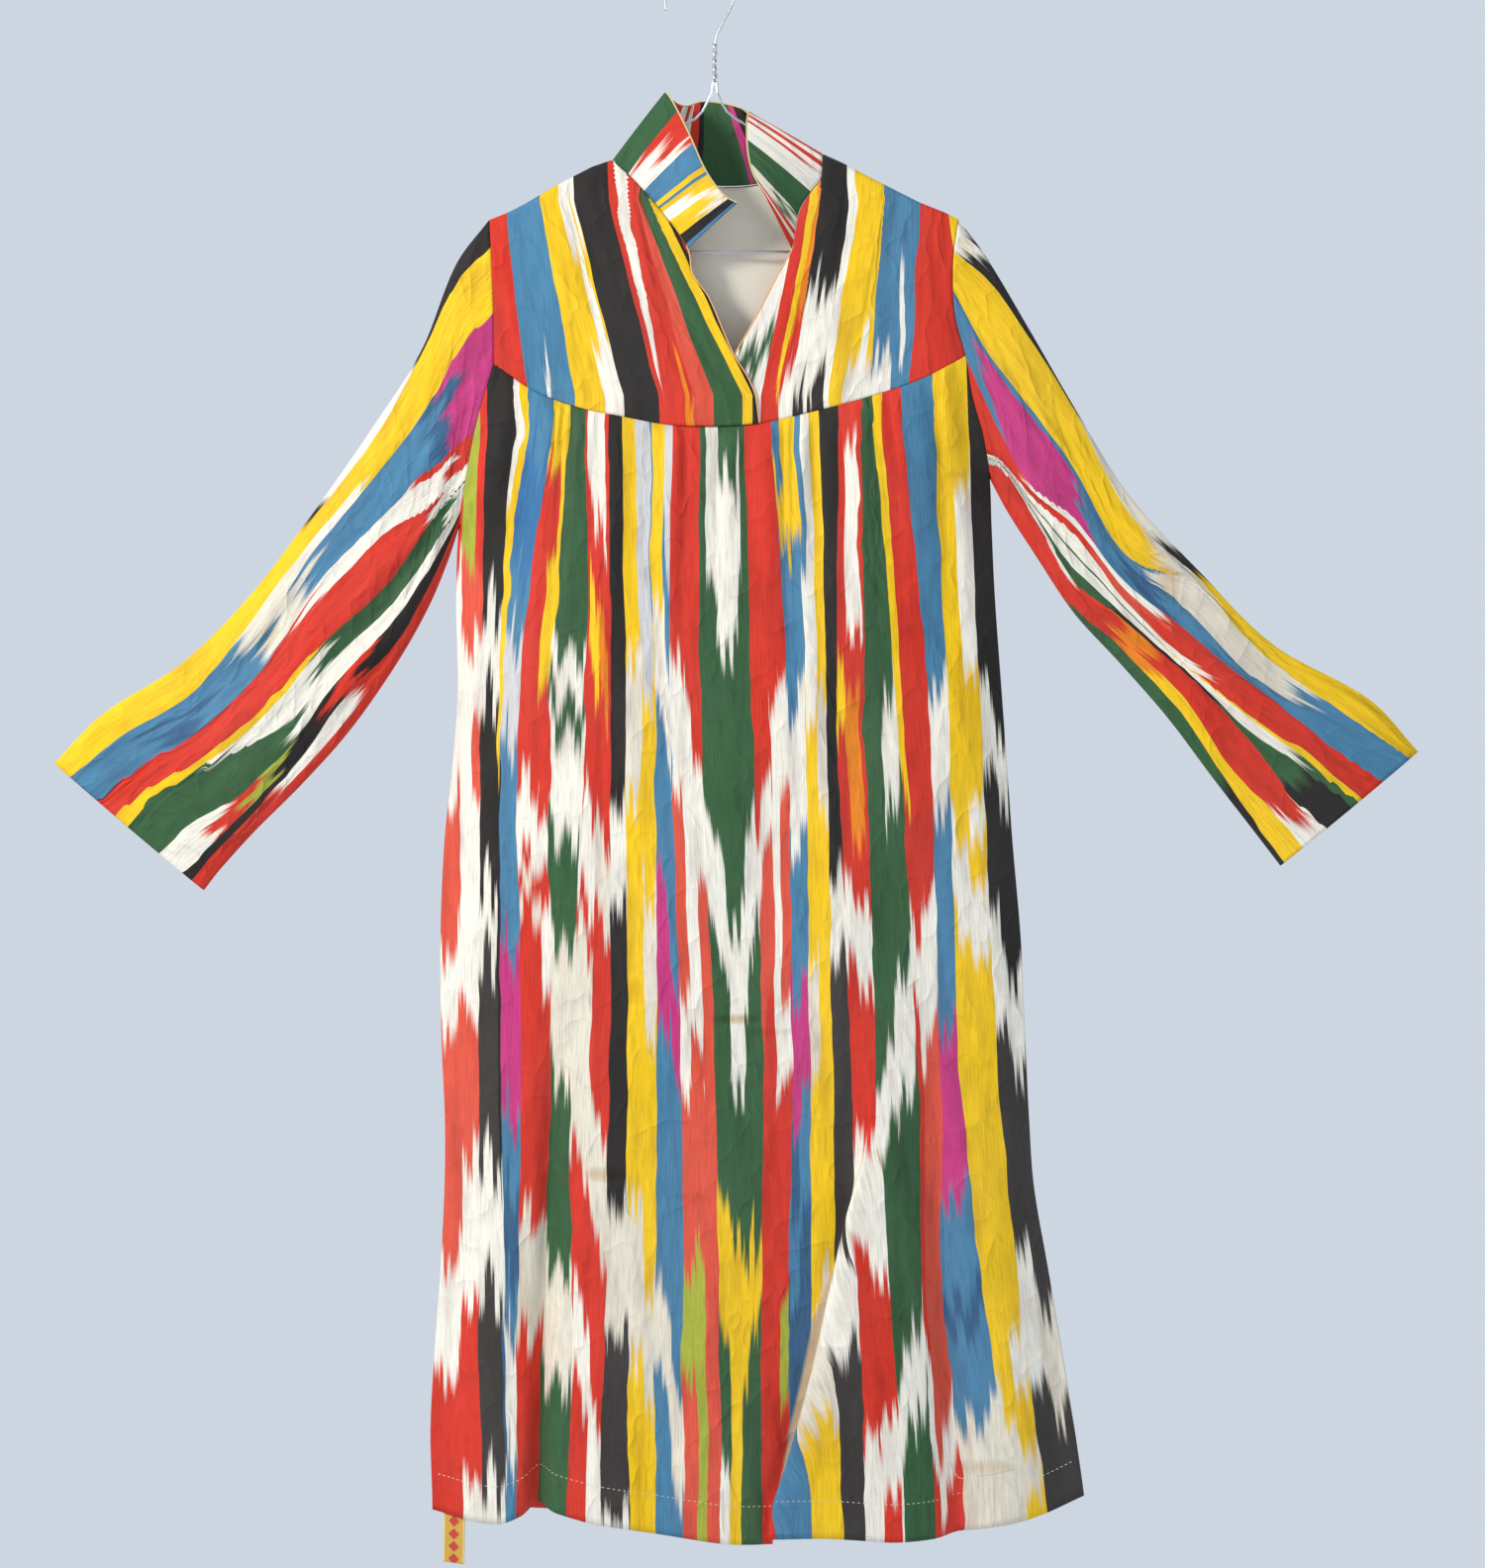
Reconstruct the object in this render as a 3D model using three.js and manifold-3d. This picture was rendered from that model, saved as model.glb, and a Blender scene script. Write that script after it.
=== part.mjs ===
// A striped ikat dress on a wire hanger. Millimetres, +Z up, the dress faces -Y.
// The origin is the point inside the top of the hook where a rail touches it.
// "Right" and "left" are the wearer's, so the right sleeve is at -X.
import * as THREE from "three";
import { mergeVertices } from "three/addons/utils/BufferGeometryUtils.js";
import Module from "manifold-3d";

const wasm = await Module();
wasm.setup();

// ---- driving sizes ----
const cloth = 1.5; // thickness of the silk and cotton cloth with its seams
const liningCloth = 1; // thickness of the plain cotton inside the yoke and of the hem tape
const gap = 0.3; // between two sewn pieces
const wire = 2.3; // diameter of the hanger wire
const shoulderRound = 4; // radius of the cloth where it bends over the wire
const frontSlope = 0.22; // how fast the front stands off the hanger below the shoulder
const backSlope = 0.35;
const armholeOpen = 10; // half depth of the armhole at its middle
const collarLift = 0.8; // collar band above the neck edge it is sewn to

const hook = { radius: 31, tipDrop: 21, neckX: 11.8, neckTop: -80, neckFoot: -111.7, neckWidth: 4.6 };
const hangerBar = { z: -257, rightX: -60, leftX: 90 }; // its straight stretch
const hangerEnd = { radius: 17, rightX: -154.6, rightTurn: 126, leftX: 190, leftTurn: 63 };
const wireBelowShoulder = 4;

// Gathers: how many, how high, how fast they rise and fade below the seam, and the fullness
// that they leave in the cloth.
const frontGathers = { count: 14, height: 5, rise: 12, reach: 170, puff: 5 };
const backGathers = { count: 10, height: 3.5, rise: 14, reach: 150, puff: 3 };
const puffFade = { reach: 220, lasting: 0.35 };
const gatherDrift = [
  { share: 0.3, rate: 10.7, start: 0 },
  { share: 0.2, rate: 25.8, start: 1 },
];
const sideFadeWidth = 0.06; // share of a panel's width where its folds die away at a side seam
const hemLevel = { front: -1340, back: -1335 };
const hemTape = { xFrom: -219, xTo: -200, zTop: -1312, zFoot: -1376, lean: 1.5, curl: 4 };

// ---- tables: one row for each height, seam point, section or fold ----

// Both edges of the body: the armholes, then the side seams.
const bodySides = [
  { z: -170, right: -182, left: 222 },
  { z: -230, right: -180.6, left: 218.9 },
  { z: -266, right: -178.5, left: 214.6 },
  { z: -311, right: -176.8, left: 215.9 },
  { z: -347, right: -176.3, left: 225 },
  { z: -354, right: -176.4, left: 226.2 },
  { z: -382, right: -185, left: 231 },
  { z: -415, right: -193.5, left: 240.2 },
  { z: -448, right: -199.6, left: 246 },
  { z: -491, right: -206.6, left: 247.8 },
  { z: -550, right: -209, left: 250.5 },
  { z: -634, right: -207.8, left: 256.5 },
  { z: -700, right: -212.6, left: 261.3 },
  { z: -760, right: -219, left: 265.6 },
  { z: -845, right: -222.5, left: 272.8 },
  { z: -930, right: -221.5, left: 276.6 },
  { z: -1000, right: -218.6, left: 280 },
  { z: -1055, right: -219, left: 284 },
  { z: -1125, right: -222.4, left: 296 },
  { z: -1190, right: -227, left: 307.2 },
  { z: -1260, right: -231, left: 318.4 },
  { z: -1320, right: -229.5, left: 327 },
  { z: -1362, right: -229, left: 332 },
];

// Shoulder seams, with a straight line carried across the neck between them.
const shoulderLine = [
  { x: -182, z: -230.4 },
  { x: -165, z: -223.8 },
  { x: -151, z: -216.7 },
  { x: -124, z: -200.6 },
  { x: -93, z: -184.6 },
  { x: -76.4, z: -178.9 },
  { x: 104.2, z: -173.9 },
  { x: 120.5, z: -181.2 },
  { x: 153, z: -198.2 },
  { x: 186, z: -214.9 },
  { x: 207, z: -223.2 },
  { x: 220, z: -229.6 },
];

// Seam between the front yokes and the gathered front.
const frontSeam = [
  { x: -176.4, z: -354 },
  { x: -144.5, z: -376 },
  { x: -108, z: -391 },
  { x: -62, z: -401 },
  { x: -19, z: -408 },
  { x: 45, z: -406.5 },
  { x: 101, z: -394.5 },
  { x: 147.5, z: -381.5 },
  { x: 186, z: -368 },
  { x: 215, z: -353 },
  { x: 225, z: -347 },
];

const backSeam = [
  { x: -176.4, z: -354 },
  { x: -100, z: -371 },
  { x: 24, z: -380 },
  { x: 150, z: -368 },
  { x: 225, z: -347 },
];

// Front hem as it hangs: the nick at -139 and the step at 65 are the feet of the two sharp folds.
const frontHem = [
  { x: -229, z: -1331 },
  { x: -200, z: -1336.5 },
  { x: -170, z: -1339 },
  { x: -152, z: -1332 },
  { x: -139, z: -1322 },
  { x: -124, z: -1328 },
  { x: -96, z: -1335 },
  { x: -57, z: -1341.5 },
  { x: -15, z: -1347.5 },
  { x: 27, z: -1352.5 },
  { x: 62, z: -1353 },
  { x: 68, z: -1346.5 },
  { x: 102, z: -1346.5 },
  { x: 161, z: -1350 },
  { x: 201, z: -1348 },
  { x: 228, z: -1343 },
  { x: 273, z: -1336 },
  { x: 297, z: -1330 },
  { x: 327, z: -1319 },
];

const backHem = [
  { x: -229, z: -1331 },
  { x: -90, z: -1336 },
  { x: 49, z: -1341 },
  { x: 200, z: -1336 },
  { x: 327, z: -1319 },
];

// How far the middle of each side stands off the hanger.
const bodyDepth = [
  { z: -175, front: 20, back: 15 },
  { z: -300, front: 22, back: 16 },
  { z: -407, front: 28, back: 18 },
  { z: -500, front: 32, back: 20 },
  { z: -700, front: 33, back: 20 },
  { z: -950, front: 31, back: 20 },
  { z: -1350, front: 33, back: 24 },
];

// Opening edges of the two front yokes, from the shoulder (v 0) to the yoke seam (v 1).
// Down to v 0.3 they are the neck seam, below it the edge of the open front.
const rightOpening = [
  { v: 0, x: -76.4, z: -178.9 },
  { v: 0.08, x: -57, z: -197.4 },
  { v: 0.19, x: -33.6, z: -224.3 },
  { v: 0.3, x: -11.2, z: -256 },
  { v: 0.38, x: -7.3, z: -277.6 },
  { v: 0.48, x: 6.7, z: -298.2 },
  { v: 0.62, x: 19.7, z: -329 },
  { v: 0.7, x: 27.4, z: -346.9 },
  { v: 0.81, x: 40.2, z: -367.6 },
  { v: 0.88, x: 46.2, z: -382.2 },
  { v: 1, x: 49.6, z: -406.2 },
];
const leftOpening = [
  { v: 0, x: 104.2, z: -173.9 },
  { v: 0.08, x: 102.5, z: -195.5 },
  { v: 0.13, x: 94.1, z: -206.8 },
  { v: 0.19, x: 84, z: -223.4 },
  { v: 0.3, x: 77.4, z: -256.5 },
  { v: 0.38, x: 65.9, z: -277.6 },
  { v: 0.48, x: 55.4, z: -298.2 },
  { v: 0.6, x: 40.2, z: -326.4 },
  { v: 0.7, x: 29.9, z: -344.4 },
  { v: 0.85, x: 10.1, z: -378 },
  { v: 1, x: 1, z: -407.6 },
];

// Neck edge of the back, from the right shoulder (u 0) to the left one (u 1).
const backNeck = [
  { u: 0, x: -76.4, z: -178.9 },
  { u: 0.1, x: -62, z: -184.6 },
  { u: 0.22, x: -43, z: -191.5 },
  { u: 0.36, x: -17, z: -197.6 },
  { u: 0.5, x: 14, z: -199.8 },
  { u: 0.64, x: 44, z: -198.6 },
  { u: 0.78, x: 71, z: -191.6 },
  { u: 0.9, x: 91, z: -181.6 },
  { u: 1, x: 104.2, z: -173.9 },
];

// Free edge of the stand collar, unfastened and flared, from its front end on the right (q 0)
// round the back to the one on the left (q 1). bow is how far the band curves out between.
const collarEdge = [
  { q: 0, x: 31.1, y: -30, z: -220.1, bow: 3 },
  { q: 0.06, x: 19, y: -31, z: -213, bow: 4 },
  { q: 0.13, x: 4, y: -28, z: -192, bow: 5 },
  { q: 0.2, x: -10, y: -21, z: -160, bow: 5 },
  { q: 0.26, x: -24, y: -11, z: -131, bow: 4 },
  { q: 0.3, x: -30.2, y: 1, z: -120.1, bow: 3 },
  { q: 0.35, x: -28, y: 15, z: -122.5, bow: 0 },
  { q: 0.42, x: -15, y: 29, z: -127, bow: -2 },
  { q: 0.49, x: 0, y: 35, z: -122, bow: -3 },
  { q: 0.57, x: 20, y: 34, z: -124, bow: -3 },
  { q: 0.64, x: 33, y: 25, z: -129, bow: -2 },
  { q: 0.7, x: 40, y: 12, z: -136, bow: 0 },
  { q: 0.75, x: 40.3, y: 0, z: -137.5, bow: 3 },
  { q: 0.82, x: 39, y: -14, z: -151, bow: 5 },
  { q: 0.89, x: 40, y: -24, z: -176, bow: 5 },
  { q: 0.95, x: 44, y: -28, z: -194, bow: 4 },
  { q: 1, x: 50.4, y: -27, z: -206, bow: 3 },
];
const collarShoulders = { right: 0.3, left: 0.75 }; // where the band crosses the shoulder seams

// Sleeve sections from the armhole to the cuff: the fold along the top, the seam along the
// bottom, and half the depth of the lens between them.
const rightSleeve = [
  { s: 0, topX: -180.9, topZ: -230, lowX: -206.9, lowZ: -491.4, depth: 8 },
  { s: 0.08, topX: -209, topZ: -268, lowX: -217, lowZ: -522, depth: 10 },
  { s: 0.2, topX: -238, topZ: -340, lowX: -234, lowZ: -562, depth: 13 },
  { s: 0.35, topX: -280, topZ: -407, lowX: -262, lowZ: -611, depth: 13 },
  { s: 0.5, topX: -334, topZ: -484, lowX: -300, lowZ: -665, depth: 12 },
  { s: 0.65, topX: -387, topZ: -553, lowX: -340, lowZ: -710, depth: 12 },
  { s: 0.8, topX: -445, topZ: -610, lowX: -381, lowZ: -751, depth: 11 },
  { s: 0.92, topX: -512, topZ: -653, lowX: -411, lowZ: -784, depth: 10 },
  { s: 1, topX: -552, topZ: -694, lowX: -425, lowZ: -802, depth: 9 },
];
const leftSleeve = [
  { s: 0, topX: 219.2, topZ: -229.3, lowX: 246.3, lowZ: -448, depth: 8 },
  { s: 0.08, topX: 244, topZ: -263, lowX: 261, lowZ: -476, depth: 10 },
  { s: 0.2, topX: 282, topZ: -327, lowX: 285, lowZ: -514, depth: 13 },
  { s: 0.35, topX: 322, topZ: -396, lowX: 318, lowZ: -564, depth: 13 },
  { s: 0.5, topX: 366, topZ: -466, lowX: 358, lowZ: -608, depth: 12 },
  { s: 0.65, topX: 426, topZ: -531, lowX: 399, lowZ: -655, depth: 12 },
  { s: 0.8, topX: 490, topZ: -594, lowX: 438, lowZ: -707, depth: 11 },
  { s: 0.92, topX: 571, topZ: -640, lowX: 472, lowZ: -751, depth: 10 },
  { s: 1, topX: 612, topZ: -684, lowX: 495, lowZ: -781, depth: 9 },
];

// Long soft wrinkles of the sleeves that start under the arm: w runs from the top fold
// to the bottom seam. Forward is out on the front and in on the back.
const sleeveFolds = [
  { from: 0, to: 0.85, wFrom: 0.93, wTo: 0.72, width: 0.06, forward: 4 },
  { from: 0, to: 0.6, wFrom: 0.82, wTo: 0.6, width: 0.05, forward: -4 },
  { from: 0.05, to: 1, wFrom: 0.66, wTo: 0.45, width: 0.08, forward: 3 },
  { from: 0.3, to: 1, wFrom: 0.3, wTo: 0.24, width: 0.09, forward: -3 },
];
const sleeveBackShare = 0.6; // how deep a sleeve's wrinkles are on its back
const sleeveStart = 0.14; // stretch over which a sleeve leaves the form of its armhole
const sleeveLens = 0.55; // fullness of its section: 0.5 is an ellipse
const sleeveLeast = 2.4; // least half depth of a sleeve

// Soft folds of the skirt: where each starts, where it meets the hem, how far it stands
// forward (in, where negative) and its half width.
const frontFolds = [
  { x: -160, z: -760, hemX: -186, forward: 7, width: 26 },
  { x: -60, z: -700, hemX: -86, forward: 6, width: 34 },
  { x: 14, z: -820, hemX: 18, forward: 8, width: 38 },
  { x: 120, z: -640, hemX: 172, forward: 7, width: 34 },
  { x: 188, z: -860, hemX: 216, forward: -11, width: 13 },
  { x: 225, z: -900, hemX: 262, forward: 7, width: 24 },
];
const backFolds = [
  { x: -140, z: -700, hemX: -165, forward: 7, width: 30 },
  { x: -60, z: -780, hemX: -72, forward: -6, width: 22 },
  { x: 30, z: -640, hemX: 34, forward: 7, width: 40 },
  { x: 120, z: -800, hemX: 138, forward: -7, width: 24 },
  { x: 190, z: -720, hemX: 222, forward: 7, width: 30 },
];

// The two sharp folds of the front: the line each follows, and how deep it is there.
// The nick is a narrow valley. At the lap the cloth on its left-hand side steps forward.
const sharpFolds = [
  { z: -340, nickX: -112, nick: 0, lapX: 77, lap: 0 },
  { z: -600, nickX: -128, nick: 0, lapX: 84, lap: 0 },
  { z: -800, nickX: -131, nick: 0, lapX: 112, lap: 0 },
  { z: -928, nickX: -124, nick: 4, lapX: 136, lap: 0 },
  { z: -1000, nickX: -126, nick: 7, lapX: 143, lap: 5 },
  { z: -1088, nickX: -129, nick: 10, lapX: 125, lap: 13 },
  { z: -1205, nickX: -134, nick: 13, lapX: 102.5, lap: 18 },
  { z: -1274, nickX: -137, nick: 15, lapX: 84.4, lap: 19 },
  { z: -1327, nickX: -139, nick: 17, lapX: 67, lap: 17 },
  { z: -1360, nickX: -139, nick: 17, lapX: 65, lap: 15 },
];
const nickWidth = 9;
const lapEdge = 4; // how sharply the lap steps
const lapReach = 85; // how far the stepped cloth takes to settle back
const lapDip = { share: 0.3, reach: 45 }; // the hollow beside the step
const foldGrowth = 1.4; // how soon a soft fold reaches its full depth
const skirtKnots = { nick: 0.16, lap: 0.63 }; // columns of the front that follow the two folds

// Rows of every panel, as shares of its height.
const yokeRows = [0, 0.012, 0.035, 0.09, 0.16, 0.23, 0.3, 0.44, 0.6, 0.8, 1];
const neckFoot = 0.3; // the row where the neck seam ends and the open front begins
const armholeRows = [0, 0.008, 0.02, 0.04, 0.07, 0.1059, 0.1406];
const armholeLastRow = { left: 5, right: 6 };
const skirtRows = [...armholeRows, 0.19, 0.26, 0.34, 0.43, 0.52, 0.61, 0.7, 0.79, 0.87, 0.93, 0.97, 1];
const seamEnds = { right: -354, left: -347 };
const hemEnds = { right: -1331, left: -1319 };
const shoulderTips = { right: -230, left: -229.3 };

// ---- small helpers ----
const lerp = (a, b, t) => a + (b - a) * t;
const clamp01 = (t) => Math.min(1, Math.max(0, t));
const ease = (t) => clamp01(t) ** 2 * (3 - 2 * clamp01(t));
const evenly = (count) => Array.from({ length: count + 1 }, (_, i) => i / count);

// A curve through one column of a table, read at a value of its key column.
function curveOf(rows, key, column, bend = 1) {
  const up = Math.sign(rows.at(-1)[key] - rows[0][key]);
  const slope = (a, b) => (b[column] - a[column]) / (b[key] - a[key]);
  return (value) => {
    let i = 0;
    while (i < rows.length - 2 && (value - rows[i + 1][key]) * up > 0) i += 1;
    const [a, b] = [rows[i], rows[i + 1]];
    const t = clamp01((value - a[key]) / (b[key] - a[key]));
    const span = b[key] - a[key];
    const straight = slope(a, b);
    const startSlope = lerp(straight, slope(rows[i - 1] ?? a, b), bend);
    const endSlope = lerp(straight, slope(a, rows[i + 2] ?? b), bend);
    const lift = t * (1 - t) * ((1 - t) * (startSlope - straight) - t * (endSlope - straight));
    return lerp(a[column], b[column], t) + lift * span;
  };
}

const rightSide = curveOf(bodySides, "z", "right");
const leftSide = curveOf(bodySides, "z", "left");
const shoulderZ = curveOf(shoulderLine, "x", "z", 0);
const frontSeamZ = curveOf(frontSeam, "x", "z");
const backSeamZ = curveOf(backSeam, "x", "z");
const frontHemZ = curveOf(frontHem, "x", "z", 0.5);
const backHemZ = curveOf(backHem, "x", "z");
const nickX = curveOf(sharpFolds, "z", "nickX");
const nickDepth = curveOf(sharpFolds, "z", "nick");
const lapX = curveOf(sharpFolds, "z", "lapX");
const lapDepth = curveOf(sharpFolds, "z", "lap");
const depthOf = {
  front: curveOf(bodyDepth, "z", "front"),
  back: curveOf(bodyDepth, "z", "back"),
};
const slopeOf = { front: frontSlope, back: backSlope };

// ---- the form of the body ----

// Half depth of an armhole at height z: open at its middle, closed at both ends.
function armholeDepth(z, side) {
  const top = shoulderTips[side];
  const share = armholeRows[armholeLastRow[side]];
  const foot = lerp(seamEnds[side], hemEnds[side], share);
  const w = clamp01((top - z) / (top - foot));
  return 2 * armholeOpen * Math.sqrt(w * (1 - w));
}

// How far the middle of the cloth stands from the hanger's plane, before gathers and folds.
function standOff(x, z, face) {
  const [from, to] = [rightSide(z), leftSide(z)];
  const t = (2 * x - from - to) / (to - from);
  const middle = clamp01(1 - Math.abs(t) ** 3);
  const edge = armholeDepth(z, x < 0 ? "right" : "left");
  const full = cloth / 2 + (1 - middle) * edge + middle * depthOf[face](z);
  const below = Math.max(0, shoulderZ(x) - z);
  const bend = Math.min(below, shoulderRound);
  const round = Math.sqrt(shoulderRound ** 2 - (shoulderRound - bend) ** 2);
  const free = round + slopeOf[face] * (below - bend);
  return gap / 2 + full * (1 - Math.exp(-free / full));
}

const sideFade = (u) => ease(u / sideFadeWidth) * ease((1 - u) / sideFadeWidth);

// Gathers under a yoke seam: they start at the stitching and fade down the skirt.
function gathered(u, below, style) {
  const rise = 1 - Math.exp(-below / style.rise);
  const fade = Math.exp(-((below / style.reach) ** 1.5));
  const drift = gatherDrift.reduce((sum, { share, rate, start }) => sum + share * Math.sin(rate * u + start), 0);
  const wave = 0.5 + 0.5 * Math.cos(2 * Math.PI * (style.count * u + drift));
  const puff = style.puff * rise * lerp(puffFade.lasting, 1, Math.exp(-below / puffFade.reach));
  return sideFade(u) * (style.height * rise * fade * wave + puff);
}

function softFolds(x, z, rows, hemZ) {
  let forward = 0;
  for (const row of rows) {
    const down = (row.z - z) / (row.z - hemZ);
    const from = (x - lerp(row.x, row.hemX, down)) / row.width;
    forward += row.forward * ease(down * foldGrowth) * Math.exp(-from * from);
  }
  return forward;
}

function sharpFront(x, z) {
  const fromNick = (x - nickX(z)) / nickWidth;
  const fromLap = x - lapX(z);
  const step = 1 / (1 + Math.exp(-fromLap / lapEdge));
  const settle = Math.exp(-Math.max(0, fromLap) / lapReach);
  const dip = lapDip.share * (1 - step) * Math.exp(Math.min(0, fromLap) / lapDip.reach);
  return lapDepth(z) * (step * settle - dip) - nickDepth(z) * Math.exp(-fromNick * fromNick);
}

// Forms of the two skirt panels, as distances from the hanger's plane.
function frontSkirtOff(x, z, u) {
  const below = Math.max(0, frontSeamZ(x) - z);
  const folds = softFolds(x, z, frontFolds, hemLevel.front) + sharpFront(x, z);
  return standOff(x, z, "front") + gathered(u, below, frontGathers) + sideFade(u) * folds;
}

function backSkirtOff(x, z, u) {
  const below = Math.max(0, backSeamZ(x) - z);
  const folds = softFolds(x, z, backFolds, hemLevel.back);
  return standOff(x, z, "back") + gathered(u, below, backGathers) + sideFade(u) * folds;
}

// ---- walls ----

function squared(normal, zeroed) {
  for (const axis of zeroed) normal[axis] = 0;
  return normal.normalize();
}

// A cloth wall through a grid of points, grid[row][column]. flat(row, column) names the
// axes that the wall's cut edge does not lean along, so that two edges meet squarely.
function clothWall(grid, thickness, flat, closedRound = false) {
  const rows = grid.length;
  const columns = grid[0].length;
  const wrap = (i) => (closedRound ? (i + columns) % columns : Math.min(columns - 1, Math.max(0, i)));
  const offsets = grid.map((line, j) =>
    line.map((point, i) => {
      const across = line[wrap(i + 1)].clone().sub(line[wrap(i - 1)]);
      const down = grid[Math.min(rows - 1, j + 1)][i].clone().sub(grid[Math.max(0, j - 1)][i]);
      const normal = across.cross(down).normalize();
      return squared(normal, flat(j, i)).multiplyScalar(thickness / 2);
    }),
  );
  const positions = [];
  for (const sign of [1, -1])
    for (let j = 0; j < rows; j += 1)
      for (let i = 0; i < columns; i += 1)
        positions.push(...grid[j][i].clone().addScaledVector(offsets[j][i], sign).toArray());
  const at = (sheet, j, i) => (sheet * rows + j) * columns + wrap(i);
  const faces = [];
  const quad = (a, b, c, d) => faces.push(a, b, c, a, c, d);
  const spans = closedRound ? columns : columns - 1;
  for (let i = 0; i < spans; i += 1) {
    for (let j = 0; j < rows - 1; j += 1) {
      quad(at(0, j, i), at(0, j, i + 1), at(0, j + 1, i + 1), at(0, j + 1, i));
      quad(at(1, j, i), at(1, j + 1, i), at(1, j + 1, i + 1), at(1, j, i + 1));
    }
    quad(at(0, 0, i + 1), at(0, 0, i), at(1, 0, i), at(1, 0, i + 1));
    const foot = rows - 1;
    quad(at(0, foot, i), at(0, foot, i + 1), at(1, foot, i + 1), at(1, foot, i));
  }
  if (!closedRound)
    for (let j = 0; j < rows - 1; j += 1) {
      const end = columns - 1;
      quad(at(0, j, 0), at(0, j + 1, 0), at(1, j + 1, 0), at(1, j, 0));
      quad(at(0, j + 1, end), at(0, j, end), at(1, j, end), at(1, j + 1, end));
    }
  const geometry = new THREE.BufferGeometry();
  geometry.setAttribute("position", new THREE.Float32BufferAttribute(positions, 3));
  geometry.setIndex(faces);
  geometry.computeVertexNormals();
  return geometry;
}

// A point between four edges. Each edge gives { x, z } from 0 to 1.
function patchPoint({ top, bottom, start, end }, u, v) {
  const corners = [top(0), top(1), bottom(0), bottom(1)];
  const [t, b, s, e] = [top(u), bottom(u), start(v), end(v)];
  const mix = (axis) =>
    lerp(t[axis], b[axis], v) +
    lerp(s[axis], e[axis], u) -
    lerp(lerp(corners[0][axis], corners[1][axis], u), lerp(corners[2][axis], corners[3][axis], u), v);
  return { x: mix("x"), z: mix("z") };
}

const sideEdge = (side, seamGap) => (v) => {
  const z = lerp(shoulderTips[side], seamEnds[side] + seamGap, v);
  return { x: side === "right" ? rightSide(z) : leftSide(z), z };
};

// ---- yokes, lining and skirts ----

// The right yoke lies over the left one at the foot of the opening.
const yokeLap = { height: cloth + 1.5 * gap, x: -30, growX: 28, z: -300, growZ: 25 };
const yokeColumns = evenly(16);

function frontYoke(side) {
  const right = side === "right";
  const opening = right ? rightOpening : leftOpening;
  const openingX = curveOf(opening, "v", "x", 0);
  const openingZ = curveOf(opening, "v", "z", 0);
  const foot = openingZ(1) - frontSeamZ(openingX(1));
  const inner = (v) => ({ x: openingX(v), z: openingZ(v) + (gap / 2 - foot) * v });
  const outer = sideEdge(side, gap / 2);
  const [from, to] = right ? [outer, inner] : [inner, outer];
  const along = (v, line) => (u) => {
    const x = lerp(from(v).x, to(v).x, u);
    return { x, z: line(x) };
  };
  const edges = {
    top: along(0, shoulderZ),
    bottom: along(1, (x) => frontSeamZ(x) + gap / 2),
    start: from,
    end: to,
  };
  const lap = (x, z) =>
    right ? yokeLap.height * ease((x - yokeLap.x) / yokeLap.growX) * ease((yokeLap.z - z) / yokeLap.growZ) : 0;
  const grid = yokeRows.map((v) =>
    yokeColumns.map((u) => {
      const { x, z } = patchPoint(edges, u, v);
      const off = v === 0 ? gap / 2 : standOff(x, z, "front");
      return new THREE.Vector3(x, -(off + lap(x, z)), z);
    }),
  );
  const [last, lastColumn] = [yokeRows.length - 1, yokeColumns.length - 1];
  const openColumn = right ? lastColumn : 0;
  return clothWall(grid, cloth, (j, i) => {
    const outerColumn = i !== openColumn && (i === 0 || i === lastColumn);
    if (j === 0) return outerColumn ? ["x", "y"] : ["y"];
    if (i === openColumn) return ["x", "z"];
    if (j === last) return ["z"];
    return outerColumn ? ["x"] : [];
  });
}

const backNeckX = curveOf(backNeck, "u", "x", 0);
const backNeckZ = curveOf(backNeck, "u", "z", 0);

// Top edge of the back yoke: right shoulder, neck, left shoulder.
const neckColumns = { from: 0.28, to: 0.72 };
function backTop(u) {
  const { from, to } = neckColumns;
  if (u > from && u < to) {
    const q = (u - from) / (to - from);
    return { x: backNeckX(q), z: backNeckZ(q) };
  }
  const x =
    u <= from
      ? lerp(rightSide(shoulderTips.right), backNeckX(0), u / from)
      : lerp(backNeckX(1), leftSide(shoulderTips.left), (u - to) / (1 - to));
  return { x, z: shoulderZ(x) };
}

function backYoke() {
  const edges = {
    top: backTop,
    bottom: (u) => {
      const x = lerp(rightSide(seamEnds.right), leftSide(seamEnds.left), u);
      return { x, z: backSeamZ(x) + gap / 2 };
    },
    start: sideEdge("right", gap / 2),
    end: sideEdge("left", gap / 2),
  };
  const { from, to } = neckColumns;
  const shoulder = [0, 0.25, 0.5, 0.75];
  const columns = [
    ...shoulder.map((t) => from * t),
    ...backNeck.map(({ u }) => lerp(from, to, u)),
    ...shoulder.map((t) => lerp(1, to, t)).reverse(),
  ];
  const last = yokeRows.length - 1;
  const onNeck = (u) => u > from + 1e-6 && u < to - 1e-6;
  const grid = yokeRows.map((v, j) =>
    columns.map((u) => {
      const { x, z } = patchPoint(edges, u, v);
      const off = j === 0 && !onNeck(u) ? gap / 2 : standOff(x, z, "back");
      return new THREE.Vector3(x, off, z);
    }),
  );
  return clothWall(grid, cloth, (j, i) => {
    const outerColumn = i === 0 || i === columns.length - 1;
    if (j === 0 && outerColumn) return ["x", "y"];
    if (j === 0) return onNeck(columns[i]) ? ["z"] : ["y"];
    if (j === last) return ["z"];
    return outerColumn ? ["x"] : [];
  });
}

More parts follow.
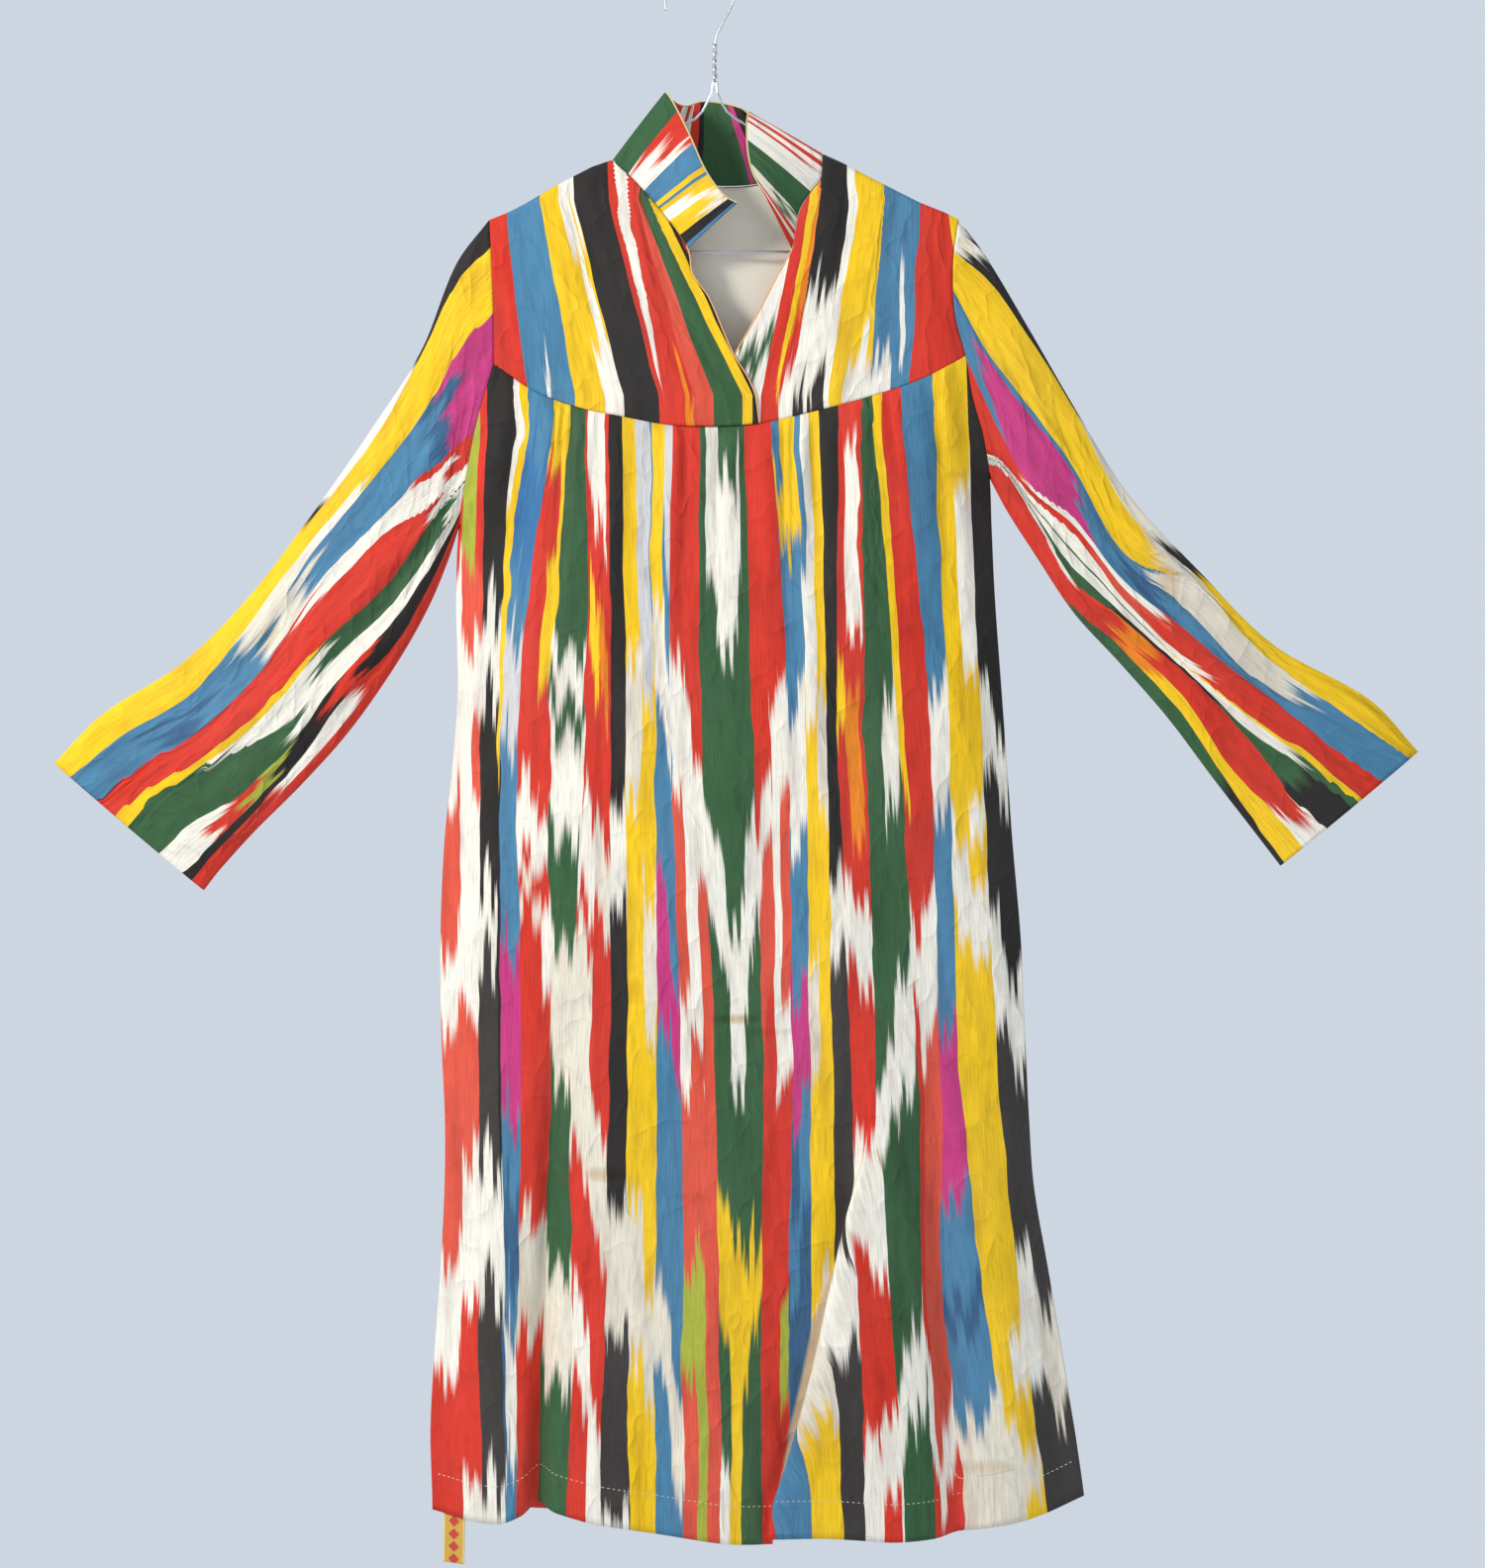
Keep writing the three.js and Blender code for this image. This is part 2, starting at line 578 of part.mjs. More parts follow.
// Plain cotton lining inside the back yoke, from the neck edge to the yoke seam.
function backLining() {
  const inside = (cloth + liningCloth) / 2 + 2 * gap;
  const inset = { ends: 0.04, side: 14, shoulder: 15, neck: 1.5, seam: 2 };
  const neck = [backNeckX(0), backNeckX(1)];
  const seam = [rightSide(seamEnds.right) + inset.side, leftSide(seamEnds.left) - inset.side];
  const columns = evenly(14);
  const rows = [0, 0.1, 0.28, 0.5, 0.75, 1];
  const grid = rows.map((v) =>
    columns.map((u) => {
      const top = backTop(lerp(inset.ends, 1 - inset.ends, u));
      const atNeck = ease((top.x - neck[0]) / inset.side) * ease((neck[1] - top.x) / inset.side);
      const topZ = top.z - lerp(inset.shoulder, inset.neck, atNeck);
      const x = lerp(top.x, lerp(seam[0], seam[1], u), v);
      const z = lerp(topZ, backSeamZ(x) + inset.seam, v);
      const [from, to] = [rightSide(z) + inset.side, leftSide(z) - inset.side];
      const heldX = Math.min(to, Math.max(from, x));
      return new THREE.Vector3(heldX, standOff(heldX, z, "back") - inside, z);
    }),
  );
  return clothWall(grid, liningCloth, () => []);
}

// Where column u of the front skirt lies at height z: its columns follow the sharp folds.
function frontColumnX(u, z) {
  const { nick, lap } = skirtKnots;
  if (u < nick) return lerp(rightSide(z), nickX(z), u / nick);
  if (u < lap) return lerp(nickX(z), lapX(z), (u - nick) / (lap - nick));
  return lerp(lapX(z), leftSide(z), (u - lap) / (1 - lap));
}
const backColumnX = (u, z) => lerp(rightSide(z), leftSide(z), u);

// The height at which a column meets a seam or hem line.
function meet(columnX, u, line, start) {
  let z = start;
  for (let turn = 0; turn < 6; turn += 1) z = line(columnX(u, z));
  return z;
}

function skirtGrid(columns, columnX, seamZ, hemZ, off, sign) {
  const ends = columns.map((u) => {
    if (u === 0) return [seamEnds.right, hemEnds.right];
    if (u === 1) return [seamEnds.left, hemEnds.left];
    return [meet(columnX, u, seamZ, seamEnds.right), meet(columnX, u, hemZ, hemLevel.front)];
  });
  return skirtRows.map((v) =>
    columns.map((u, i) => {
      const z = lerp(ends[i][0] - gap / 2, ends[i][1], v);
      const x = columnX(u, z);
      return new THREE.Vector3(x, sign * off(x, z, u), z);
    }),
  );
}

function skirtWall(grid, columns) {
  return clothWall(grid, cloth, (j, i) => {
    if (i === 0 || i === columns.length - 1) return j === 0 ? ["x", "z"] : ["x"];
    return j === 0 ? ["z"] : [];
  });
}

function frontSkirt() {
  const { nick, lap } = skirtKnots;
  const nearFolds = [nick, lap].flatMap((u) => [u - 0.012, u, u + 0.012]);
  const apart = 0.004;
  const all = [...evenly(66), ...nearFolds].sort((a, b) => a - b);
  const columns = all.filter((u, i) => i === 0 || u - all[i - 1] > apart);
  const grid = skirtGrid(columns, frontColumnX, frontSeamZ, frontHemZ, frontSkirtOff, -1);
  return skirtWall(grid, columns);
}

function backSkirt() {
  const columns = evenly(36);
  const grid = skirtGrid(columns, backColumnX, backSeamZ, backHemZ, backSkirtOff, 1);
  return skirtWall(grid, columns);
}

// ---- sleeves ----

// Heights where the panels' rows end at an armhole, so that the sleeve shares their points.
function armholeHeights(side) {
  const yoke = yokeRows.map((v) => lerp(shoulderTips[side], seamEnds[side], v));
  const rows = armholeRows.slice(1, armholeLastRow[side] + 1);
  return [...yoke, ...rows.map((v) => lerp(seamEnds[side], hemEnds[side], v))];
}

function sleeve(side) {
  const right = side === "right";
  const sections = right ? rightSleeve : leftSleeve;
  const outward = right ? -1 : 1;
  const sideX = right ? rightSide : leftSide;
  const read = (column) => curveOf(sections, "s", column);
  const [topX, topZ, lowX, lowZ, depth] = ["topX", "topZ", "lowX", "lowZ", "depth"].map(read);
  const heights = armholeHeights(side);
  const [first, foot] = [heights[0], heights.at(-1)];
  const half = heights.map((z) => ({ z, w: (first - z) / (first - foot) }));
  const ring = [
    ...half.map((point) => ({ ...point, face: "front" })),
    ...half.slice(1, -1).reverse().map((point) => ({ ...point, face: "back" })),
  ];
  const stations = [0, 0.025, 0.07, 0.14, 0.24, 0.36, 0.5, 0.64, 0.78, 0.9, 1];
  const grid = stations.map((s) =>
    ring.map(({ z, w, face }) => {
      const sign = face === "front" ? -1 : 1;
      const tip = w === 0 || w === 1;
      const hole = { x: sideX(z) + outward * gap, z };
      const chord = { x: lerp(topX(0), lowX(0), w), z: lerp(topZ(0), lowZ(0), w) };
      const keep = (1 - s) ** 4;
      const x = lerp(topX(s), lowX(s), w) + (hole.x - chord.x) * keep;
      const zz = lerp(topZ(s), lowZ(s), w) + (hole.z - chord.z) * keep;
      if (tip) return new THREE.Vector3(x, 0, zz);
      const lens = depth(s) * (4 * w * (1 - w)) ** sleeveLens;
      const start = standOff(sideX(z), z, face);
      let off = lerp(start, lens, ease(s / sleeveStart));
      for (const fold of sleeveFolds) {
        const t = (s - fold.from) / (fold.to - fold.from);
        if (t <= 0 || t >= 1) continue;
        const away = (w - lerp(fold.wFrom, fold.wTo, t)) / fold.width;
        const shape = Math.sin(Math.PI * t) * Math.exp(-away * away) * Math.min(1, 8 * w * (1 - w));
        off += (face === "front" ? 1 : -sleeveBackShare) * fold.forward * shape;
      }
      const least = sleeveLeast * Math.min(1, (3 * s) / sleeveStart);
      return new THREE.Vector3(x, sign * Math.max(off, least), zz);
    }),
  );
  return clothWall(grid, cloth, (j, i) => (j === 0 ? ["x"] : []), true);
}

// ---- collar ----

// The neck edge that the collar is sewn to, with its height over the hanger's plane.
function neckPoint(q) {
  const { right, left } = collarShoulders;
  if (q > right && q < left) {
    const u = (q - right) / (left - right);
    const [x, z] = [backNeckX(u), backNeckZ(u)];
    return new THREE.Vector3(x, standOff(x, z, "back"), z);
  }
  const opening = q <= right ? rightOpening : leftOpening;
  const v = q <= right ? neckFoot * (1 - q / right) : neckFoot * ((q - left) / (1 - left));
  const [x, z] = [curveOf(opening, "v", "x", 0)(v), curveOf(opening, "v", "z", 0)(v)];
  return new THREE.Vector3(x, v === 0 ? 0 : -standOff(x, z, "front"), z);
}

function collar() {
  const [freeX, freeY, freeZ, bow] = ["x", "y", "z", "bow"].map((name) => curveOf(collarEdge, "q", name));
  const { right, left } = collarShoulders;
  const onFront = yokeRows.filter((v) => v <= neckFoot).map((v) => v / neckFoot);
  const stations = [
    ...onFront.map((t) => right * (1 - t)).reverse(),
    ...backNeck.slice(1, -1).map(({ u }) => lerp(right, left, u)),
    ...onFront.map((t) => lerp(left, 1, t)),
  ];
  const columns = stations.map((q) => {
    const neck = neckPoint(q);
    const free = new THREE.Vector3(freeX(q), freeY(q), freeZ(q));
    neck.addScaledVector(free.clone().sub(neck).normalize(), collarLift);
    return [0, 0.3, 0.62, 1].map((p) => {
      const point = neck.clone().lerp(free, p);
      point.y -= 4 * bow(q) * p * (1 - p);
      return point;
    });
  });
  const grid = columns[0].map((_, j) => columns.map((column) => column[j]));
  return clothWall(grid, cloth, () => []);
}

// ---- loose end of the hem tape ----

// It lies inside the front hem and hangs out below it.
function hemTapeEnd() {
  const inside = (cloth + liningCloth) / 2 + 3 * gap;
  const rows = [0, 0.3, 0.55, 0.8, 1];
  const columns = evenly(3);
  const grid = rows.map((v) =>
    columns.map((u) => {
      const z = lerp(hemTape.zTop, hemTape.zFoot, v);
      const x = lerp(hemTape.xFrom, hemTape.xTo, u) - hemTape.lean * v;
      const column = ((x - rightSide(z)) / (nickX(z) - rightSide(z))) * skirtKnots.nick;
      const panelZ = Math.max(z, frontHemZ(x));
      const curl = hemTape.curl * ease(2 * v - 1);
      return new THREE.Vector3(x, inside - frontSkirtOff(x, panelZ, column) + curl, z);
    }),
  );
  return clothWall(grid, liningCloth, () => []);
}

// ---- hanger ----

// A wire along a smooth path in the hanger's plane, as a solid.
function wireSolid(path, diameter, steps) {
  const section = new THREE.Shape().absarc(0, 0, diameter / 2, 0, 2 * Math.PI);
  const geometry = new THREE.ExtrudeGeometry(section, {
    steps,
    curveSegments: 3,
    bevelEnabled: false,
    extrudePath: path,
  });
  geometry.deleteAttribute("normal");
  geometry.deleteAttribute("uv");
  const merged = mergeVertices(geometry, 1e-4);
  return new wasm.Manifold(
    new wasm.Mesh({
      numProp: 3,
      vertProperties: merged.attributes.position.array,
      triVerts: new Uint32Array(merged.index.array),
    }),
  );
}

function geometryOf(solid) {
  const mesh = solid.getMesh();
  const geometry = new THREE.BufferGeometry();
  geometry.setAttribute("position", new THREE.BufferAttribute(mesh.vertProperties, 3));
  geometry.setIndex(new THREE.BufferAttribute(mesh.triVerts, 1));
  geometry.computeVertexNormals();
  return geometry;
}

const onPlane = (x, z) => new THREE.Vector3(x, 0, z);
const smoothPath = (points) => new THREE.CatmullRomCurve3(points, false, "centripetal");
const arc = (x, z, radius, from, to, spans) =>
  evenly(spans).map((t) => {
    const angle = THREE.MathUtils.degToRad(lerp(from, to, t));
    return onPlane(x + radius * Math.cos(angle), z + radius * Math.sin(angle));
  });

// Hook from its tip over the crown, down to the neck where the two wires are twisted.
function hangerHook() {
  const { radius, tipDrop, neckX: x, neckTop, neckFoot, neckWidth } = hook;
  const centreZ = -(radius - wire / 2);
  const tip = [onPlane(-radius + 0.8, centreZ - tipDrop), onPlane(-radius + 0.2, centreZ - tipDrop / 2)];
  const crown = arc(0, centreZ, radius, 180, -32, 8);
  const stem = [onPlane(19.5, -60), onPlane(13.6, -72), onPlane(x, neckTop), onPlane(x, neckTop - 8)];
  const neck = new THREE.LineCurve3(onPlane(x, neckTop), onPlane(x, neckFoot));
  return geometryOf(wireSolid(smoothPath([...tip, ...crown, ...stem]), wire, 36).add(wireSolid(neck, neckWidth, 1)));
}

// The wire's bends between the twisted neck and each shoulder, as x and z.
const neckToShoulder = {
  right: [[6.4, -127], [-3, -142], [-21, -150], [-42, -160.5], [-61, -177.5]],
  left: [[100, -179.5], [80, -173], [58, -160.5], [36, -147], [24, -139.5], [16.5, -128]],
};

// Arms, rounded ends and bar: one wire that starts and ends under the twisted neck.
function hangerFrame() {
  const { radius, rightX, rightTurn, leftX, leftTurn } = hangerEnd;
  const under = (x) => onPlane(x, shoulderZ(x) - wireBelowShoulder);
  const endZ = hangerBar.z + radius;
  const start = { z: hook.neckFoot - gap, side: 1.32, spread: 1.6, drop: 6 };
  const points = [
    onPlane(hook.neckX - start.side, start.z),
    onPlane(hook.neckX - start.spread, start.z - start.drop),
    ...neckToShoulder.right.map(([x, z]) => onPlane(x, z)),
    ...[-80, -100, -122, -144].map(under),
    ...arc(rightX, endZ, radius, rightTurn, 270, 6),
    onPlane(hangerBar.rightX, hangerBar.z),
    onPlane(hangerBar.leftX, hangerBar.z),
    ...arc(leftX, endZ, radius, -90, leftTurn, 6),
    ...[176, 155, 128].map(under),
    ...neckToShoulder.left.map(([x, z]) => onPlane(x, z)),
    onPlane(hook.neckX + start.spread, start.z - start.drop),
    onPlane(hook.neckX + start.side, start.z),
  ];
  return geometryOf(wireSolid(smoothPath(points), wire, 96));
}

// ---- the part ----
const part = new THREE.Group();

function add(name, geometry, colour, roughness, metalness = 0) {
  const material = new THREE.MeshStandardMaterial({ color: colour, roughness, metalness });
  const mesh = new THREE.Mesh(geometry, material);
  mesh.name = name;
  part.add(mesh);
}

add("front_skirt", frontSkirt(), 0xc8452f, 0.5);
add("back_skirt", backSkirt(), 0xb8402c, 0.5);
add("front_yoke_right", frontYoke("right"), 0xe2b81e, 0.5);
add("front_yoke_left", frontYoke("left"), 0xd9a81c, 0.5);
add("back_yoke", backYoke(), 0x4f7f9c, 0.5);
add("back_yoke_lining", backLining(), 0xd7d1bc, 0.8);
add("collar", collar(), 0x2f5a41, 0.5);
add("sleeve_right", sleeve("right"), 0x5c95b8, 0.5);
add("sleeve_left", sleeve("left"), 0x5c95b8, 0.5);
add("hem_tape_end", hemTapeEnd(), 0xb9852e, 0.7);
add("hanger_hook", hangerHook(), 0xb9bcc0, 0.3, 1);
add("hanger_frame", hangerFrame(), 0xb9bcc0, 0.3, 1);

export default part;
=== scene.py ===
# Striped ikat dress on a wire hanger. Lengths in the tables are millimetres, meshes are in metres.
# The dress faces -Y, and "right" and "left" are the wearer's, so the right sleeve is at -X.
import math

import bpy
import numpy as np
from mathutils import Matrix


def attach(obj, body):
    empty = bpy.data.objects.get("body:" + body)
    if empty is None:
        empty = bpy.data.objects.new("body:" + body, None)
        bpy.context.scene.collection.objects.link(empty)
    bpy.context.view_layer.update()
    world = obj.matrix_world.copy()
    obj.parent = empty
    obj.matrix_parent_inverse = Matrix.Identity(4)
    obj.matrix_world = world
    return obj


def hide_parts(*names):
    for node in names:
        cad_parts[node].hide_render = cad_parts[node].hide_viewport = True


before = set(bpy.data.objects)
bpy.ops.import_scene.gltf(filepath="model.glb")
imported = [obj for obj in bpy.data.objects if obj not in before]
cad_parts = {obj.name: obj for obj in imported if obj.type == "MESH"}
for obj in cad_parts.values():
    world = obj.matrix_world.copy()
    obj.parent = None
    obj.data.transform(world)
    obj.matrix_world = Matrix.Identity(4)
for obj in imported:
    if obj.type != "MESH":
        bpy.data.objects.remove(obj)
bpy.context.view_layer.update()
print("frame loaded:", len(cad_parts), "solids")

# Camera.

view = {"distance": 3.0, "x": 0.0353, "z": -0.7115, "frameWidth": 1.26, "sensor": 36.0, "clothY": -0.02}


def added(name, data):
    thing = bpy.data.objects.new(name, data)
    bpy.context.scene.collection.objects.link(thing)
    return thing


def makeCamera():
    data = bpy.data.cameras.new("camera")
    data.sensor_fit, data.sensor_width = "HORIZONTAL", view["sensor"]
    data.lens = view["sensor"] * view["distance"] / view["frameWidth"]
    camera = added("camera", data)
    camera.location = (view["x"], view["clothY"] - view["distance"], view["z"])
    camera.rotation_euler = (math.pi / 2, 0, 0)
    bpy.context.scene.camera = camera


makeCamera()


# Shader maths: one wrapped socket, with the operators that are used.

class Shade:
    def __init__(self, tree, socket=None):
        self.tree, self.socket = tree, socket

    def node(self, kind, settings=None, inputs=None, out=0):
        made = self.tree.nodes.new(kind)
        for key, value in (settings or {}).items():
            if key != "stops":
                setattr(made, key, value)
                continue
            ramp = made.color_ramp
            ramp.elements.remove(ramp.elements[-1])
            ramp.elements[0].position, ramp.elements[0].color = value[0]
            for position, colour in value[1:]:
                ramp.elements.new(position).color = colour
        for key, value in (inputs or {}).items():
            if isinstance(value, Shade):
                self.tree.links.new(value.socket, made.inputs[key])
            else:
                made.inputs[key].default_value = value
        return Shade(self.tree, made.outputs[out])

    def maths(self, operation, *others):
        return self.node("ShaderNodeMath", {"operation": operation}, dict(enumerate((self, *others))))

    def mix(self, factor, a, b, blend="MIX"):
        settings = {"data_type": "RGBA", "blend_type": blend}
        return self.node("ShaderNodeMix", settings, {0: factor, 6: a, 7: b}, 2)

    def __rsub__(self, other):
        return self.node("ShaderNodeMath", {"operation": "SUBTRACT"}, {0: other, 1: self})


def operator(operation):
    return lambda shade, other: shade.maths(operation, other)


for sign, operation in {
        "add": "ADD", "radd": "ADD", "sub": "SUBTRACT", "mul": "MULTIPLY", "rmul": "MULTIPLY",
        "truediv": "DIVIDE", "pow": "POWER", "gt": "GREATER_THAN", "lt": "LESS_THAN"}.items():
    setattr(Shade, "__" + sign + "__", operator(operation))


def startMaterial(name, finish):
    material = bpy.data.materials.new(name)
    material.use_nodes = True
    shader = material.node_tree.nodes["Principled BSDF"]
    for key, value in finish.items():
        shader.inputs[key].default_value = value
    return material, Shade(material.node_tree), shader


def plug(value, shader, key):
    value.tree.links.new(value.socket, shader.inputs[key])


# The cloth's own two directions in millimetres: across its stripes and down along them.
def clothAxes(make):
    place = make.node("ShaderNodeUVMap", {"uv_map": "cloth"})
    parts = [make.node("ShaderNodeSeparateXYZ", {}, {0: place}, out) for out in (0, 1)]
    return [part * 1000 for part in parts]


def cloudy(make, x, y, detail=2.0, rough=0.5):
    spot = make.node("ShaderNodeCombineXYZ", {}, {0: x, 1: y})
    inputs = {"Vector": spot, "Scale": 1.0, "Detail": detail, "Roughness": rough}
    return make.node("ShaderNodeTexNoise", {}, inputs)


# The ikat: warp stripes whose colours change along the threads.

dyes = {
    "red": (0.70, 0.030, 0.012), "coral": (0.76, 0.085, 0.045), "dark": (0.012, 0.009, 0.008),
    "ash": (0.040, 0.033, 0.031), "yellow": (0.97, 0.60, 0.004), "blue": (0.066, 0.225, 0.38),
    "azure": (0.035, 0.17, 0.37), "navy": (0.032, 0.115, 0.235), "white": (0.94, 0.89, 0.76),
    # The first colour on the next line is no dye of the cloth: it is painted shade for the fold beside the
    # lap.
    "lapShadeTan": (0.56, 0.42, 0.27), "green": (0.032, 0.112, 0.038), "pink": (0.60, 0.035, 0.21),
    "lime": (0.40, 0.44, 0.04), "orange": (0.90, 0.24, 0.004), "cream": (0.83, 0.76, 0.61),
    "grey": (0.64, 0.63, 0.62),
}
ikat = {
    # Widths of the threads that were tied and dyed together, and how far each kind runs past
    # its neighbours at a colour change.
    "runs": [(7.3, 44.0), (3.1, 30.0), (0.9, 10.0)],
    "driftRun": 18.0,
    "bleed": 15.0,       # length over which one dye runs into the next
    "wobble": 8.0,       # how far a stripe's edge wanders, and the room before the first stripe
    "before": 20.0,
    "flecks": {"above": 0.42, "least": 0.3, "strength": 2.55, "colour": (0.55, 0.50, 0.50, 1)},
    "patches": {"above": 0.48, "strength": 2.4, "colour": (0.66, 0.60, 0.62, 1)},
    "fade": 0.05,
    "faded": (0.93, 0.90, 0.84, 1),
    # The colour of painted shade along creases and fold hollows, and of a few stained spots.
    "stainAndShade": (0.66, 0.50, 0.32, 1),
    "roughness": (0.46, 0.2),
    "weft": {"pitch": 0.9, "height": 0.2},
    "weave": {"Strength": 0.35, "Distance": 0.00018},
    "crush": {"Strength": 0.9, "Distance": 0.0042},
    "relief": {"sharpness": 8, "creases": 0.30, "ripples": 3.2},
    "finish": {"Specular IOR Level": 0.05},
    # Each noise: its waves per millimetre across and down, its detail and its roughness.
    "noises": {
        "drift": (0.6, 0.02), "edge": (0.012, 0.013), "flecks": (0.9, 0.035, 4.0, 0.65), "worn": (0.03, 0.02),
        "patches": (0.07, 0.010), "fade": (0.011, 0.006, 3.0), "sheen": (0.05, 0.03, 3.0),
        "threads": (1.1, 0.02), "creases": (0.026, 0.019, 2.0, 0.45), "ripples": (0.022, 0.008, 2.0, 0.4),
    },
}


# bands: where each stripe ends across the cloth, how much its colour change leans, and its
# colours down the cloth with the depth at which each one ends. The last list darkens soft patches,
# mostly painted shade along creases and fold hollows, with a few stained spots: each gives its place across
# and down, half width, half length and strength.
def ikatMaterial(name, bands, length, seed=0.0, stainsAndShade=()):
    material, make, shader = startMaterial(name, ikat["finish"])
    across, down = clothAxes(make)

    def noise(kind):
        x, y, *rest = ikat["noises"][kind]
        return cloudy(make, across * x + seed, down * y, *rest)

    def above(value, level):
        return (value - level).maths("MAXIMUM", 0.0)

    def chance(step):
        cell = (across / step + (seed + step)).maths("FLOOR")
        return make.node("ShaderNodeTexWhiteNoise", {"noise_dimensions": "1D"}, {"W": cell}) - 0.5

    ragged = down + (noise("drift") - 0.5) * ikat["driftRun"]
    for step, run in ikat["runs"]:
        ragged = ragged + chance(step) * run
    edge = across + (noise("edge") - 0.5) * ikat["wobble"]
    colour, start, half = None, bands[0][0] - ikat["before"], ikat["bleed"] / 2 / length
    for end, lean, story in bands:
        words = story.split()
        names, depths = words[0::2], [float(word) for word in words[1::2]]
        stops = [(0.0, (*dyes[names[0]], 1.0))]
        for before, after, depth in zip(names, names[1:], depths):
            change = depth / length
            stops += [(change - half, (*dyes[before], 1.0)), (change + half, (*dyes[after], 1.0))]
        along = ragged if lean == 0 else ragged - (across - (start + end) / 2) * lean
        stripe = make.node("ShaderNodeValToRGB", {"stops": stops}, {0: along / length})
        colour = stripe if colour is None else make.mix(edge > start, colour, stripe)
        start = end

    flecks, patches = ikat["flecks"], ikat["patches"]
    fleck = above(noise("flecks"), flecks["above"]) * (noise("worn") + flecks["least"])
    colour = make.mix(fleck * flecks["strength"], colour, flecks["colour"], "MULTIPLY")
    patch = above(noise("patches"), patches["above"]) * patches["strength"]
    colour = make.mix(patch, colour, patches["colour"], "MULTIPLY")
    colour = make.mix(noise("fade") * ikat["fade"], colour, ikat["faded"])
    # Painted shade along creases and fold hollows, with a few stained spots: each darkens the colour in a
    # soft patch.
    for besides, depth, wide, long, strength in stainsAndShade:
        aside, below = (across - besides) / wide, (down - depth) / long
        near = above(1 - (aside * aside + below * below), 0.0)
        colour = make.mix(near * strength, colour, ikat["stainAndShade"], "MULTIPLY")
    # Painted shade: the "turned" attribute mixes in light brown where the fold's flank beside the lap lies in
    # shadow.
    turned = make.node("ShaderNodeAttribute", {"attribute_name": "turned"}, out=2)
    plug(make.mix(turned, colour, (*dyes["lapShadeTan"], 1.0)), shader, "Base Color")
    low, spread = ikat["roughness"]
    plug(low + noise("sheen") * spread, shader, "Roughness")

    weft = (down * (2 * math.pi / ikat["weft"]["pitch"])).maths("SINE") * ikat["weft"]["height"]
    weave = make.node("ShaderNodeBump", {}, {**ikat["weave"], "Height": weft + noise("threads")})
    size = ikat["relief"]
    crushed = 1 - (noise("creases") * 2 - 1).maths("ABSOLUTE")
    relief = crushed ** size["sharpness"] * size["creases"] + noise("ripples") * size["ripples"]
    crushed = make.node("ShaderNodeBump", {}, {**ikat["crush"], "Height": relief, "Normal": weave})
    plug(crushed, shader, "Normal")
    return material


plain = {"wide": 18.0, "detail": (2.0, 3.0), "cloud": 0.5, "tint": (0.75, 0.7, 0.6, 1),
         "bump": {"Strength": 0.4, "Distance": 0.0004}}


def plainCloth(name, colour, weave, finish):
    material, make, shader = startMaterial(name, finish)
    place = make.node("ShaderNodeTexCoord", out=3)
    fine, wide = (make.node("ShaderNodeTexNoise", {}, {"Vector": place, "Scale": scale, "Detail": detail})
                  for scale, detail in zip((weave, plain["wide"]), plain["detail"]))
    plug(make.mix(wide * plain["cloud"], (*colour, 1), plain["tint"], "MULTIPLY"), shader, "Base Color")
    plug(make.node("ShaderNodeBump", {}, {**plain["bump"], "Height": fine}), shader, "Normal")
    return material


# Sizes that the solids share.

body = {
    "cloth": 1.5, "gap": 0.3, "shoulderRound": 4.0, "frontSlope": 0.22, "backSlope": 0.35,
    "armholeOpen": 10.0, "armholeShare": {"right": 0.1406, "left": 0.1059}, "collarLift": 0.8,
    "seamEnds": {"right": -354.0, "left": -347.0}, "hemEnds": {"right": -1331.0, "left": -1319.0},
    "shoulderTips": {"right": -230.0, "left": -229.3}, "hemLevel": {"front": -1340.0, "back": -1335.0},
    "sideFadeWidth": 0.06, "foldGrowth": 1.4, "puffReach": 220.0, "puffLasting": 0.35,
}
gathers = {
    "front": {"count": 14, "height": 5.0, "rise": 12.0, "reach": 170.0, "puff": 5.0},
    "back": {"count": 10, "height": 3.5, "rise": 14.0, "reach": 150.0, "puff": 3.0},
}
fineGathers = {"count": 37, "height": 3.6, "rise": 4.0, "reach": 105.0, "least": 0.6, "rate": 31, "shift": 1}
# How the gathers wander sideways: size, rate and shift of each slow wave.
wanders = {"main": [(0.3, 10.7, 0), (0.2, 25.8, 1)], "fine": [(0.7, 19, 2), (0.5, 43, 0)]}
bodySides = {
    "z": [-170, -230, -266, -311, -347, -354, -382, -415, -448, -491, -550, -634, -700, -760, -845, -930,
          -1000, -1055, -1125, -1190, -1260, -1320, -1362],
    "right": [-182, -180.6, -178.5, -176.8, -176.3, -176.4, -185, -193.5, -199.6, -206.6, -209, -207.8,
              -212.6, -219, -222.5, -221.5, -218.6, -219, -222.4, -227, -231, -229.5, -229],
    "left": [222, 218.9, 214.6, 215.9, 225, 226.2, 231, 240.2, 246, 247.8, 250.5, 256.5, 261.3, 265.6, 272.8,
             276.6, 280, 284, 296, 307.2, 318.4, 327, 332],
}
shoulderLine = {
    "x": [-182, -165, -151, -124, -93, -76.4, 104.2, 120.5, 153, 186, 207, 220],
    "z": [-230.4, -223.8, -216.7, -200.6, -184.6, -178.9, -173.9, -181.2, -198.2, -214.9, -223.2, -229.6],
}
frontSeam = {
    "x": [-176.4, -144.5, -108, -62, -19, 45, 101, 147.5, 186, 215, 225],
    "z": [-354, -376, -391, -401, -408, -406.5, -394.5, -381.5, -368, -353, -347],
}
backSeam = {"x": [-176.4, -100, 24, 150, 225], "z": [-354, -371, -380, -368, -347]}
